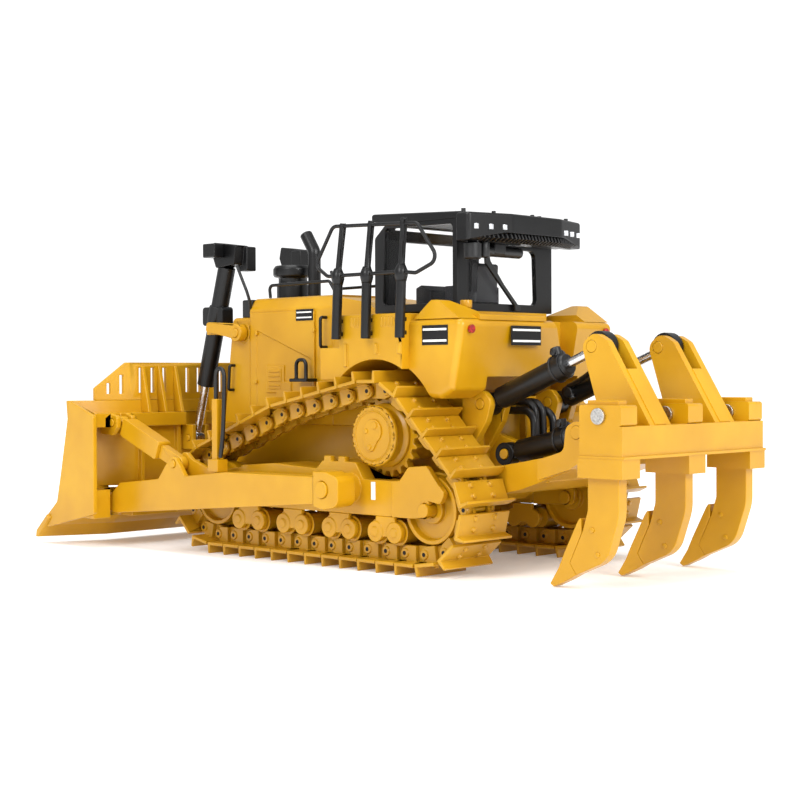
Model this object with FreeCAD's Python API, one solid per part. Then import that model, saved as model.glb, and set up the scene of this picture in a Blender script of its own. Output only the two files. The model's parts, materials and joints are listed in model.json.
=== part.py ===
"""Toy crawler bulldozer, a die-cast model at 1:50, with a semi-U blade and a three-shank rear ripper.

Frame: millimetres, +X is the machine's front, +Y its left side, +Z up.
The dimensions below are from a point on the ground midway between the front and rear idlers.
The finished pieces move along X by one offset, so that the origin is under the middle of the whole toy.
Each sub-part is written to parts/NODE.step as one or more closed solids.
Both tracks and everything that comes in pairs is built on the left and mirrored to the right.
"""

import FreeCAD
import Part
import math
import os

V = FreeCAD.Vector
os.makedirs("parts", exist_ok=True)

# ---------------------------------------------------------------- driving dimensions, mm
# Fits
RUN = 0.06            # radial running clearance of a pin or shaft in its hole
LIFT_SLACK = 0.35     # room at the lift rods' eyes, where the blade's closed linkage is opened
RIPPER_SLACK = 0.42   # room at the ripper rods' eyes, where the ripper's closed linkages are opened
GAP = 0.30            # clearance between pieces that pass each other
SEAT = 0.0            # pieces that are fixed to each other meet face to face

# Tracks
LINKS = 37            # castings in each chain
SPROCKET_PITCHES = 11  # chain pitches in one turn of the sprocket
IDLER_X = 31.0        # idler centres, ahead of and behind the origin
TRACK_Y = 20.8        # middle of each track
SHOE_WIDTH = 13.6
SHOE_THICK = 0.7
GROUSER = 1.7         # height of the bar on each shoe
LINK_HEIGHT = 3.0
LINK_THICK = 0.9
RAIL_OUT = 3.6        # outer face of the chain's rails, from the middle of the track
PIN_R = 0.55
SPROCKET_X = -17.3
SPROCKET_Z = 25.8
IDLER_PITCH_R = 8.4   # radius of the chain's pins round an idler
CARRIER_X = 9.0       # the carrier roller that holds up the upper run
CARRIER_Z = 25.9
CARRIER_PITCH_R = 3.6

# Undercarriage
ROLLER_R = 2.1
ROLLER_FLANGE_R = 2.7
ROLLER_XS = (-23.0, -18.0, -10.6, -5.2, 2.8, 8.2, 16.0, 22.0)
FRAME_IN = 4.9        # inner face of a track frame, inboard of the middle of the track
FRAME_OUT = 4.9       # its outer face, outboard of the middle of the track
FRAME_LOW = 10.6
FRAME_TOP = 17.4
HUB_R = 5.9
HUB_FACE_Y = 25.6
HUB_BOLTS = 16
HUB_WALL = 1.2
AXLE_R = 1.6
IDLER_AXLE_R = 1.3

# Hull and bodywork
HULL_HALF = 11.5      # half width of the main frame
HULL_BACK = -29.0
HULL_FRONT = 43.0
HULL_LOW = 12.0
DECK_Z = 27.0         # top of the main frame, where the bodywork sits
BODY_HALF = 12.0      # half width of the hood and radiator guard
NOSE_BACK = 34.3
NOSE_TOP = 50.1
HOOD_TOP = 54.2
HOOD_BACK = 8.0
PANEL = 0.5           # how far a door panel stands proud
PLATFORM_Z = 49.6     # floor of the cab
FENDER_OUT = 25.2
FENDER_TOP = 49.0
FENDER_FRONT = -2.2
ARCH_CLEAR = 1.8      # between the grouser tips and the wheel arch
TANK_FRONT = -24.5
TANK_HALF = 23.1
TANK_TOP = 47.8
TANK_BACK = -38.0
FILLER = (-31.0, 14.2)

# Cab
CAB_BACK = -28.9
CAB_FRONT = -6.8
CAB_HALF = 14.4
CAB_WALL = 1.2
CAB_TOP = 67.2
GLASS = 0.4
ROOF_TOP = 69.5
CANOPY_LOW = 62.6
CANOPY_TOP = 67.9
CANOPY_HALF = 17.2

# Blade
ARM_Y = 31.0          # middle of each push arm
ARM_WIDTH = 4.2
ARM_HEIGHT = 5.2
TRUNNION = (-11.1, 15.6)
BLADE_PIN = (59.6, 9.6)
BLADE_HALF = 39.4
WING_Y = 26.0
WING_ANGLE = 25.0
BLADE_LOW = 1.6
BLADE_TOP = 32.0
GUARD_TOP = 40.4
MOULD_THICK = 1.2
BRACE_TOP = (55.4, 27.2)
BRACE_FOOT = (34.6, 18.9)
LIFT_Y = 10.0         # middle of each blade lift cylinder
NOSE_PIVOT = (36.3, 46.7)     # where each yoke turns on the radiator guard
LIFT_COLLAR = (48.2, 48.4)    # middle of the collar that the yoke is bolted to
LIFT_PIN = (55.6, 23.2)
LIFT_BARREL_R = 1.95
LIFT_ROD_R = 0.95
LIFT_ABOVE = 13.8     # how far the barrel runs above its collar, and below it
LIFT_BELOW = 13.8
LIFT_EYE_R = 1.7
LIFT_PIN_R = 0.7
NOSE_PIVOT_R = 1.0

# Ripper
RIPPER_Y = 10.2       # middle of the tilt cylinders and towers
RIPPER_LIFT_Y = 8.6   # middle of the ripper's lift cylinders
TILT_BASE = (-33.5, 31.8)
TILT_EYE = (-59.9, 42.3)
BEAM_PIN = (-57.8, 27.0)
LIFT_BASE = (-36.6, 22.3)
RIPPER_BARREL_R = 2.1
RIPPER_ROD_R = 0.9
BASE_EYE_R = 2.2      # the eye at the foot of each ripper cylinder
BEAM_HALF = 22.3
BEAM_FRONT = -64.0
BEAM_BACK = -73.0
BEAM_LOW = 23.4
BEAM_TOP = 28.5
SHANK_Y = 20.0        # spacing of the shanks
SHANK_THICK = 2.4
SHANK_FRONT = -64.9
SHANK_BACK = -71.5
TIP_Z = 0.15
LINK_PLATE_IN = 11.3
LINK_PLATE_OUT = 13.5
EYE_HALF = 1.3        # half the thickness of a cylinder eye
EAR_HALF = 0.8        # half the thickness of a tower or bracket ear

# ---------------------------------------------------------------- derived places
IDLER_Z = GROUSER + SHOE_THICK + LINK_HEIGHT / 2 + IDLER_PITCH_R
RAIL_TOP = GROUSER + SHOE_THICK + LINK_HEIGHT
ROLLER_Z = RAIL_TOP + 0.1 + ROLLER_R
LINK_FRONT_PIN = (BEAM_PIN[0] - (TILT_EYE[0] - TILT_BASE[0]),
                  BEAM_PIN[1] - (TILT_EYE[1] - TILT_BASE[1]))


# ---------------------------------------------------------------- small tools
def at(plane, a, b, c=0.0):
    """A point of a drawing plane: xz, xy or yz, at distance c along the plane's normal."""
    return {"xz": V(a, c, b), "xy": V(a, b, c), "yz": V(c, a, b)}[plane]


def outline(points, plane="xz", level=0.0):
    """A closed wire through points (a, b) or (a, b, corner radius)."""
    corners = []
    count = len(points)
    for i, point in enumerate(points):
        here = V(point[0], point[1], 0)
        radius = point[2] if len(point) > 2 else 0.0
        if radius <= 0:
            corners.append((here, None, here))
            continue
        before = V(*points[i - 1][:2], 0)
        after = V(*points[(i + 1) % count][:2], 0)
        u = (before - here).normalize()
        w = (after - here).normalize()
        half = u.getAngle(w) / 2
        reach = min(radius / math.tan(half), 0.48 * (before - here).Length, 0.48 * (after - here).Length)
        radius = reach * math.tan(half)
        bisector = (u + w).normalize()
        middle = here + bisector * (radius / math.sin(half) - radius)
        corners.append((here + u * reach, middle, here + w * reach))
    edges = []
    for i, (start, middle, end) in enumerate(corners):
        if middle is not None:
            edges.append(Part.Arc(*[at(plane, p.x, p.y, level) for p in (start, middle, end)]).toShape())
        following = corners[(i + 1) % count][0]
        if (following - end).Length > 1e-6:
            edges.append(Part.makeLine(at(plane, end.x, end.y, level),
                                       at(plane, following.x, following.y, level)))
    return Part.Wire(edges)


def prism(points, low, high, plane="xz"):
    """A plate with the given outline, from low to high along the plane's normal."""
    return Part.Face(outline(points, plane, low)).extrude(at(plane, 0, 0, high - low))


def block(x0, x1, y0, y1, z0, z1):
    return Part.makeBox(x1 - x0, y1 - y0, z1 - z0, V(x0, y0, z0))


def rod(start, end, radius):
    """A round bar between two points."""
    start, end = V(*start), V(*end)
    return Part.makeCylinder(radius, (end - start).Length, start, end - start)


def pin(place, y0, y1, radius):
    """A round bar along Y at the place (x, z)."""
    return Part.makeCylinder(radius, y1 - y0, V(place[0], y0, place[1]), V(0, 1, 0))


def turned(profile, base, axis=(0, 0, 1)):
    """A turned solid: profile is (radius, height) points, and height runs along axis from base."""
    wire = Part.makePolygon([V(r, 0, h) for r, h in profile + [profile[0]]])
    solid = Part.Face(wire).revolve(V(0, 0, 0), V(0, 0, 1), 360)
    solid = Part.Solid(solid) if solid.ShapeType == "Shell" else solid
    solid.Placement = FreeCAD.Placement(V(*base), FreeCAD.Rotation(V(0, 0, 1), V(*axis)))
    return solid


def bar(points, radius, bend):
    """A bent round bar: straight runs joined by tangent arcs of the bend radius."""
    points = [V(*p) for p in points]
    edges = []
    start = points[0]
    for i in range(1, len(points) - 1):
        here = points[i]
        u = (points[i - 1] - here).normalize()
        w = (points[i + 1] - here).normalize()
        half = u.getAngle(w) / 2
        reach = bend / math.tan(half)
        middle = here + (u + w).normalize() * (bend / math.sin(half) - bend)
        edges.append(Part.makeLine(start, here + u * reach))
        edges.append(Part.Arc(here + u * reach, middle, here + w * reach).toShape())
        start = here + w * reach
    edges.append(Part.makeLine(start, points[-1]))
    path = Part.Wire(edges)
    circle = Part.Wire(Part.makeCircle(radius, points[0], points[1] - points[0]))
    return path.makePipeShell([circle], True, True)


def fuse(*shapes):
    flat = [s for shape in shapes for s in (shape if isinstance(shape, (list, tuple)) else [shape])]
    return flat[0].multiFuse(flat[1:]).removeSplitter() if len(flat) > 1 else flat[0]


def cut(shape, *tools):
    return shape.cut(Part.makeCompound([t for t in tools]))


def mirrored(shape):
    return shape.mirror(V(0, 0, 0), V(0, 1, 0))


def both(shape):
    return [shape, mirrored(shape)]


def softened(shape, radius, chosen):
    """Fillets the edges that chosen(edge) picks."""
    edges = [e for e in shape.Edges if chosen(e)]
    return shape.makeFillet(radius, edges) if edges else shape


def along(direction, tolerance=0.02):
    """Picks straight edges parallel to a direction."""
    direction = V(*direction)

    def test(edge):
        if edge.Curve.TypeId != "Part::GeomLine":
            return False
        way = edge.tangentAt(edge.FirstParameter)
        return abs(abs(way.dot(direction)) - 1) < tolerance
    return test


nodes = {}


def keep(name, *shapes):
    """Stores the closed solids of one sub-part."""
    solids = []
    for shape in shapes:
        for item in (shape if isinstance(shape, (list, tuple)) else [shape]):
            solids += item.Solids
    nodes[name] = solids


def keep_pair(name, shape):
    """Stores a left piece and its mirrored right piece as two sub-parts."""
    keep(name + "_left", shape)
    keep(name + "_right", [mirrored(s) for s in (shape if isinstance(shape, (list, tuple)) else [shape])])


# ---------------------------------------------------------------- track loop
def sprocket_pitch_radius(step):
    return step / (2 * math.sin(math.pi / SPROCKET_PITCHES))


def loop_parts(step):
    """The chain's line of pins: (kind, length, data) stretches, clockwise seen from the left, from the
    foot of the rear idler forwards along the ground."""
    wheels = [(-IDLER_X, IDLER_Z, IDLER_PITCH_R), (IDLER_X, IDLER_Z, IDLER_PITCH_R),
              (CARRIER_X, CARRIER_Z, CARRIER_PITCH_R), (SPROCKET_X, SPROCKET_Z, sprocket_pitch_radius(step))]
    tangents = []
    for i in range(len(wheels)):
        x0, z0, r0 = wheels[i]
        x1, z1, r1 = wheels[(i + 1) % len(wheels)]
        way = math.atan2(z1 - z0, x1 - x0)
        distance = math.hypot(x1 - x0, z1 - z0)
        normal = way - math.pi / 2 - math.asin((r1 - r0) / distance)
        tangents.append(((x0 + r0 * math.cos(normal), z0 + r0 * math.sin(normal)),
                         (x1 + r1 * math.cos(normal), z1 + r1 * math.sin(normal)), normal))
    parts = []
    for i in range(len(wheels)):
        start, end, normal = tangents[i]
        parts.append(("run", math.hypot(end[0] - start[0], end[1] - start[1]), (start, end)))
        following = tangents[(i + 1) % len(wheels)][2]
        turn = (following - normal) % (2 * math.pi)
        x, z, r = wheels[(i + 1) % len(wheels)]
        parts.append(("arc", r * turn, (x, z, r, normal)))
    return parts


def loop_point(parts, distance):
    """The place (x, z) of the pin line at a distance round the loop."""
    distance %= sum(length for _, length, _ in parts)
    for kind, length, data in parts:
        if distance <= length:
            break
        distance -= length
    if kind == "run":
        (x0, z0), (x1, z1) = data
        share = distance / length
        return x0 + (x1 - x0) * share, z0 + (z1 - z0) * share
    x, z, r, begin = data
    angle = begin + distance / r
    return x + r * math.cos(angle), z + r * math.sin(angle)


def pin_places(step):
    """Pins one step apart, straight from pin to pin, and how far past the start the last one falls."""
    parts = loop_parts(step)
    distance = CHAIN_PHASE * step
    places = [loop_point(parts, distance)]
    for _ in range(LINKS):
        low, high = distance + 0.9 * step, distance + 1.2 * step
        for _ in range(34):
            middle = (low + high) / 2
            x, z = loop_point(parts, middle)
            if math.hypot(x - places[-1][0], z - places[-1][1]) < step:
                low = middle
            else:
                high = middle
        distance = middle
        places.append(loop_point(parts, distance))
    return places, distance - CHAIN_PHASE * step - sum(length for _, length, _ in parts)


def chain_step():
    """The pitch at which LINKS castings fill the loop exactly."""
    low, high = 4.0, 6.0
    for _ in range(40):
        middle = (low + high) / 2
        if pin_places(middle)[1] < 0:
            low = middle
        else:
            high = middle
    return (low + high) / 2


CHAIN_PHASE = 0.30    # where the first pin lies, in pitches from the foot of the rear idler
STEP = chain_step()
PINS = pin_places(STEP)[0]
SPROCKET_R = sprocket_pitch_radius(STEP)


def link_casting():
    """One casting: the shoe with its grouser and a rail on each side, centred between its two pins.
    Local X runs along the chain, local Z points into the loop, and the pins lie on local X."""
    half = STEP / 2
    base = -LINK_HEIGHT / 2
    plate = base - SHOE_THICK
    shoe = prism([(-half + 0.12, base), (-half + 0.12, plate), (half - 0.75, plate),
                  (half - 0.60, plate - GROUSER, 0.1), (half - 0.15, plate - GROUSER, 0.1), (half, plate),
                  (half, base)],
                 -SHOE_WIDTH / 2, SHOE_WIDTH / 2)
    top = -base
    # The rail's front half stands outboard and its rear half inboard, so neighbouring rails pass each other.
    front = prism([(-0.25, base), (half - 0.35, base), (half + 0.95, base + 0.75, 0.6), (half + 0.95, top - 0.5, 0.9),
                   (half - 0.5, top, 0.4), (-0.25, top)], RAIL_OUT - LINK_THICK, RAIL_OUT)
    rear = prism([(0.25, base), (0.25, top), (-half + 0.5, top, 0.4), (-half - 0.95, top - 0.5, 0.9),
                  (-half - 0.95, base + 0.75, 0.6), (-half + 0.35, base)],
                 RAIL_OUT - 2 * LINK_THICK - 0.12, RAIL_OUT - LINK_THICK - 0.12)
    joint = block(-0.25, 0.25, RAIL_OUT - 2 * LINK_THICK - 0.12, RAIL_OUT, base, top)
    rail = fuse(front, rear, joint)
    holes = [pin((s * half, 0), -RAIL_OUT, RAIL_OUT, PIN_R + RUN) for s in (-1, 1)]
    bolts = [Part.makeCylinder(0.5, 0.45, V(x, y, plate), V(0, 0, -1)) for x in (-1.5, 0.6) for y in (-2.7, 2.7)]
    return cut(fuse(shoe, rail, mirrored(rail), *bolts), *holes)


def place_on_chain(shape, index):
    """Moves a shape from the casting's own frame to its place in the left chain."""
    x0, z0 = PINS[index]
    x1, z1 = PINS[index + 1]
    angle = math.degrees(math.atan2(z1 - z0, x1 - x0))
    place = FreeCAD.Placement(V((x0 + x1) / 2, TRACK_Y, (z0 + z1) / 2), FreeCAD.Rotation(V(0, -1, 0), angle))
    return shape.transformed(place.Matrix, True)


def chains():
    link = link_casting()
    length = 2 * RAIL_OUT + 0.3
    bush = pin((-STEP / 2, 0), -length / 2, length / 2, PIN_R)
    keep_pair("track_links", [place_on_chain(link, i) for i in range(LINKS)])
    keep("track_pins", *[both(place_on_chain(bush, i)) for i in range(LINKS)])


# ---------------------------------------------------------------- wheels
def sprocket():
    """The toothed ring, with twice as many teeth as pitches; its tips run just short of the pins."""
    teeth = 2 * SPROCKET_PITCHES
    tip = SPROCKET_R - PIN_R - 0.25
    root = tip - 1.1
    points = []
    for i in range(teeth):
        middle = 2 * math.pi * i / teeth
        for radius, share in ((root, -0.30), (tip, -0.12), (tip, 0.12), (root, 0.30)):
            angle = middle + share * 2 * math.pi / teeth
            points.append((SPROCKET_X + radius * math.cos(angle), SPROCKET_Z + radius * math.sin(angle)))
    ring = prism(points, TRACK_Y - 0.9, TRACK_Y + 0.9)
    return cut(ring, pin((SPROCKET_X, SPROCKET_Z), 0, 2 * TRACK_Y, AXLE_R + RUN))


def hub():
    """The final drive's drum and its bolted cover, outboard of the sprocket."""
    inner = TRACK_Y + 0.9
    drum = turned([(AXLE_R + RUN, 0), (6.2, 0), (6.2, 0.6), (5.3, 1.1), (5.3, 2.4), (HUB_R - 0.1, 2.9), (HUB_R, 3.1),
                   (HUB_R, HUB_FACE_Y - inner - 0.3), (HUB_R - 0.3, HUB_FACE_Y - inner), (4.9, HUB_FACE_Y - inner),
                   (4.75, HUB_FACE_Y - inner + 0.25), (0, HUB_FACE_Y - inner + 0.25), (0, HUB_FACE_Y - inner - HUB_WALL),
                   (AXLE_R + RUN, HUB_FACE_Y - inner - HUB_WALL)],
                  (SPROCKET_X, inner, SPROCKET_Z), (0, 1, 0))
    bolts = []
    for i in range(HUB_BOLTS):
        angle = 2 * math.pi * i / HUB_BOLTS
        place = (SPROCKET_X + 5.3 * math.cos(angle), SPROCKET_Z + 5.3 * math.sin(angle))
        bolts.append(pin(place, HUB_FACE_Y - 0.5, HUB_FACE_Y + 0.2, 0.32))
    return fuse(drum, *bolts)


def idler(x):
    """A die-cast idler: two rims that carry the rails and a middle flange between them."""
    rim = math.sqrt(IDLER_PITCH_R ** 2 - (STEP / 2) ** 2) - LINK_HEIGHT / 2 - 0.08
    flange = rim + 0.5
    bore = IDLER_AXLE_R + RUN
    flange_half = RAIL_OUT - 2 * LINK_THICK - 0.12 - GAP
    half = RAIL_OUT
    profile = [(bore, -half + 0.4), (2.6, -half + 0.4), (2.6, -half + 1.3), (rim - 1.0, -half + 1.3), (rim - 0.8, -half),
               (rim, -half), (rim, -flange_half), (flange, -flange_half + 0.3), (flange, flange_half - 0.3),
               (rim, flange_half), (rim, half), (rim - 0.8, half), (rim - 1.0, half - 1.3), (2.6, half - 1.3),
               (2.6, half - 0.4), (bore, half - 0.4)]
    return turned(profile, (x, TRACK_Y, IDLER_Z), (0, 1, 0))


def wheels():
    keep_pair("sprocket", [sprocket(), hub()])
    keep_pair("front_idler", idler(IDLER_X))
    keep_pair("rear_idler", idler(-IDLER_X))


# ---------------------------------------------------------------- undercarriage
def track_frame():
    """The frame inside each track: a box rail with a fork at each end round the idler's shaft."""
    inside = TRACK_Y - FRAME_IN
    outside = TRACK_Y + FRAME_OUT
    body = prism([(-22.5, FRAME_LOW, 0.8), (-22.5, FRAME_TOP), (-14.6, FRAME_TOP), (-12.5, 20.6, 1.0), (-3.2, 20.6, 1.0),
                  (-1.5, 19.0, 0.6), (11.0, 19.6, 0.8), (21.5, 18.8, 0.8), (21.5, FRAME_LOW, 0.8)], inside, outside)
    recess = block(-9, 18, outside - 0.5, outside + 1, 12.4, 14.6)
    fork_in, fork_out = TRACK_Y - RAIL_OUT - GAP, TRACK_Y + RAIL_OUT + GAP
    shaft = IDLER_AXLE_R
    rear_plate = prism([(-22.5, 10.6), (-22.5, 17.4), (-24.6, 17.6), (-26.8, 20.2, 0.8), (-31.4, 20.6, 1.0),
                        (-34.2, 17.4, 1.2), (-36.0, 15.6, 1.0), (-34.8, 13.6, 0.6), (-31.9, 14.1),
                        (-31.9, 10.8, 0.8), (-27.8, 10.6, 0.8)], fork_out, outside + 0.3)
    rear_inner = prism([(-22.5, 10.6), (-22.5, 16.6), (-30.0, 16.0, 1.5), (-33.4, 14.0, 1.5), (-33.4, 10.8, 1.5)],
                       inside, fork_in)
    front_plate = prism([(21.5, 10.6), (21.5, 18.4), (27.5, 17.6, 1.5), (33.8, 14.4, 1.6), (33.8, 10.4, 1.6)],
                        fork_out, outside)
    front_inner = prism([(21.5, 10.6), (21.5, 18.4), (27.5, 17.6, 1.5), (33.8, 14.4, 1.6), (33.8, 10.4, 1.6)],
                        inside, fork_in)
    holes = [pin((s * IDLER_X, IDLER_Z), inside - 1, outside + 1, shaft + RUN) for s in (-1, 1)]
    roomy = [pin((SPROCKET_X, SPROCKET_Z), TRACK_Y - 1.6, TRACK_Y + 1.6, SPROCKET_R)]
    roomy += [pin((s * IDLER_X, IDLER_Z), fork_in, fork_out, IDLER_PITCH_R + 0.4) for s in (-1, 1)]
    body = cut(body, *roomy)
    lugs = [block(x - 0.9, x + 0.9, outside - 1.4, outside, 20.2, 21.6) for x in (-4.6, -8.6)]
    frame = fuse(body, rear_plate, rear_inner, front_plate, front_inner, *lugs)
    trunnion_seat = pin(TRUNNION, outside, ARM_Y - ARM_WIDTH / 2 - 0.4, 3.0)
    frame = cut(fuse(frame, trunnion_seat), *holes, recess,
                pin(TRUNNION, inside - 1, TRACK_Y + 2, 2.0 + RUN), pin(TRUNNION, TRACK_Y + 2, ARM_Y, AXLE_R))
    return frame


def trunnion_pin():
    """The stub that each push arm turns on, with its ball end."""
    return fuse(pin(TRUNNION, TRACK_Y + 2, ARM_Y + ARM_WIDTH / 2 + 0.6, AXLE_R - SEAT))


def bogies():
    """Each pair of rollers hangs from one cast bogie, outboard and inboard of the rails."""
    castings = []
    outside = TRACK_Y + FRAME_OUT
    for front, back in zip(ROLLER_XS[1::2], ROLLER_XS[0::2]):
        lobes = []
        for x in (front, back):
            lobes.append(pin((x, ROLLER_Z), outside - 0.9, outside + 0.3, 2.0))
            lobes.append(pin((x, ROLLER_Z), outside + 0.3, outside + 0.6, 0.9))
        web = block(back, front, outside - 0.9, outside + 0.1, ROLLER_Z - 0.9, FRAME_LOW)
        outer = cut(fuse(*lobes, web), block(back - 3, front + 3, outside - 1, outside + 1, FRAME_LOW, FRAME_TOP),
                    *[pin((x, ROLLER_Z), outside - 2, outside + 0.1, 0.8 + RUN) for x in (front, back)])
        inner_face = TRACK_Y - FRAME_IN
        inner = fuse(*[pin((x, ROLLER_Z), inner_face - 1.0, inner_face - 0.1, 1.9) for x in (front, back)],
                     block(back, front, inner_face - 1.0, inner_face - 0.1, ROLLER_Z - 0.9, FRAME_LOW))
        inner = cut(inner, *[pin((x, ROLLER_Z), inner_face - 0.6, inner_face + 1, 0.8 + RUN) for x in (front, back)],
                    block(back - 3, front + 3, inner_face - 2, inner_face + 2, FRAME_LOW, FRAME_TOP))
        castings += [outer, inner]
    return castings


def rollers():
    """Double-flanged rollers: two treads on the rails and a waist between them."""
    outer = TRACK_Y + FRAME_OUT - 0.9 - 0.1
    inner = TRACK_Y - FRAME_IN
    solids = []
    for x in ROLLER_XS:
        solids.append(fuse(pin((x, ROLLER_Z), inner - 0.5, outer + 0.8, 0.8),
                           pin((x, ROLLER_Z), TRACK_Y - RAIL_OUT + 0.4, TRACK_Y + RAIL_OUT + 0.1, ROLLER_R),
                           pin((x, ROLLER_Z), TRACK_Y + RAIL_OUT + 0.15, outer, ROLLER_FLANGE_R - 0.2)))
    return solids


def cross_members():
    reach = TRACK_Y - FRAME_IN
    equalizer = prism([(-reach, 9.8, 1.0), (-reach, 12.0), (reach, 12.0), (reach, 9.8, 1.0), (4, 8.8), (-4, 8.8)],
                      22.4, 25.6, "yz")
    shafts = [equalizer, pin(TRUNNION, -reach - 3, reach + 3, 2.0)]
    for x in (-IDLER_X, IDLER_X):
        shafts += both(pin((x, IDLER_Z), TRACK_Y - FRAME_IN - 0.5, TRACK_Y + FRAME_OUT + 0.9, IDLER_AXLE_R))
    shafts += both(pin((SPROCKET_X, SPROCKET_Z), HULL_HALF + 4.0, HUB_FACE_Y - HUB_WALL - 0.3, AXLE_R))
    shafts += both(trunnion_pin())
    keep("shafts_and_equalizer", shafts)


def undercarriage():
    keep_pair("track_frame", track_frame())
    keep("bogies", *both(Part.makeCompound(bogies())))
    keep("track_rollers", *both(Part.makeCompound(rollers())))
    cross_members()


# ---------------------------------------------------------------- hull and bodywork
def main_frame():
    hull = prism([(HULL_BACK, 14.5, 1.0), (HULL_BACK, 33.0), (-6.0, 33.0), (-6.0, DECK_Z), (HULL_FRONT - 2, DECK_Z),
                  (HULL_FRONT, 24.5, 1.0), (HULL_FRONT, 17.0, 1.5), (HULL_FRONT - 5, HULL_LOW, 2.0),
                  (HULL_BACK + 5, HULL_LOW, 2.0)], -HULL_HALF, HULL_HALF)
    axle_case = fuse(pin((SPROCKET_X, SPROCKET_Z), HULL_HALF - 1, TRACK_Y - 0.9 - 1.9, 5.0),
                     pin((SPROCKET_X, SPROCKET_Z), HULL_HALF - 1, TRACK_Y - 0.9 - GAP, 3.6))
    bores = [pin((SPROCKET_X, SPROCKET_Z), HULL_HALF + 4.0, TRACK_Y, AXLE_R),
             pin(TRUNNION, 0, HULL_HALF + 1, 2.0 + 0.0)]
    return cut(fuse(hull, *both(axle_case)), *[s for b in bores for s in both(b)],
               block(21.5, 26.5, -HULL_HALF - 1, HULL_HALF + 1, 8, HULL_LOW + 0.0))


def radiator_guard():
    guard = prism([(NOSE_BACK, DECK_Z), (NOSE_BACK, NOSE_TOP), (40.3, NOSE_TOP, 1.2), (43.4, DECK_Z)],
                  -BODY_HALF, BODY_HALF)
    guard = softened(guard, 0.8, lambda e: e.BoundBox.XMin > 40 and e.BoundBox.YLength < 0.1 and e.BoundBox.ZLength > 10)
    window = block(39.0, 50, -9.2, 9.2, 29.0, 47.6)
    boss = fuse(pin(NOSE_PIVOT, BODY_HALF, LIFT_Y + LIFT_BARREL_R + 2.8, NOSE_PIVOT_R),
                pin(NOSE_PIVOT, BODY_HALF, LIFT_Y + LIFT_BARREL_R + 0.3, 2.2))
    return fuse(cut(guard, window), *both(boss))


def radiator_grille():
    """Upright slats across the opening in the radiator guard."""
    slats = [block(39.0, 40.2, y - 0.45, y + 0.45, 29.0, 47.6) for y in [-8.1 + 1.62 * i for i in range(11)]]
    rails = [block(39.0, 39.6, -9.2, 9.2, z - 0.4, z + 0.4) for z in (29.4, 38.3, 47.2)]
    return fuse(*slats, *rails)


def hood():
    section = [(-BODY_HALF, DECK_Z), (-BODY_HALF, HOOD_TOP - 2.6, 1.5), (-BODY_HALF + 1.8, HOOD_TOP, 1.4),
               (BODY_HALF - 1.8, HOOD_TOP, 1.4), (BODY_HALF, HOOD_TOP - 2.6, 1.5), (BODY_HALF, DECK_Z)]
    return prism(section, HOOD_BACK, NOSE_BACK, "yz")


def engine_door():
    """The side panel with its pressed diagonal and the raised box below it."""
    panel = prism([(13.2, 28.6, 0.6), (13.2, 51.0, 0.6), (33.4, 51.0, 0.6), (33.4, 28.6, 0.6)],
                  BODY_HALF, BODY_HALF + PANEL)
    sunk = prism([(14.2, 30.0, 0.5), (14.2, 40.8, 0.5), (31.6, 47.2, 0.5), (31.6, 30.0, 0.5)],
                 BODY_HALF + 0.25, BODY_HALF + 1)
    louvre = block(20.4, 25.0, BODY_HALF, BODY_HALF + PANEL + 0.15, 31.4, 36.0)
    return fuse(cut(panel, sunk), louvre)


def cowl():
    """The body between the hood and the cab, and under the cab's floor."""
    return prism([(HOOD_BACK, DECK_Z), (HOOD_BACK, HOOD_TOP - 0.4), (-2.0, 52.2, 1.0), (CAB_FRONT + 0.4, PLATFORM_Z),
                  (CAB_BACK - 0.6, PLATFORM_Z), (CAB_BACK - 0.6, TANK_TOP), (TANK_FRONT, TANK_TOP), (TANK_FRONT, 33.0),
                  (-6.0, 33.0), (-6.0, DECK_Z)], -BODY_HALF, BODY_HALF)


def arch_radius():
    return SPROCKET_R + LINK_HEIGHT / 2 + SHOE_THICK + GROUSER + ARCH_CLEAR


def arch_cutter():
    return Part.makeCylinder(arch_radius(), 4 * FENDER_OUT, V(SPROCKET_X, -2 * FENDER_OUT, SPROCKET_Z), V(0, 1, 0))


def fender():
    """Left platform over the track: a stepped box whose underside is the wheel arch."""
    body = prism([(FENDER_FRONT, 36.4, 0.4), (FENDER_FRONT, 42.7, 0.3), (-7.6, 42.7), (-7.6, FENDER_TOP, 0.3),
                  (TANK_FRONT, FENDER_TOP), (TANK_FRONT, 36.4)], BODY_HALF, FENDER_OUT)
    body = cut(body, arch_cutter(), block(TANK_FRONT - 1, SPROCKET_X, 0, 40, 30, 37.0))
    ribs = [block(x - 0.4, x + 0.4, FENDER_OUT, FENDER_OUT + 0.4, 39.0 if x > -10 else 41.4, 43.4)
            for x in (-9.6, -17.9, -24.0)]
    ribs += [block(x - 0.25, x + 0.25, FENDER_OUT, FENDER_OUT + 0.3, 46.6, 48.4)
             for x in (-11.2, -12.1, -13.0, -13.9, -19.4, -20.3, -21.2, -22.1)]
    return fuse(body, *ribs)


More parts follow.
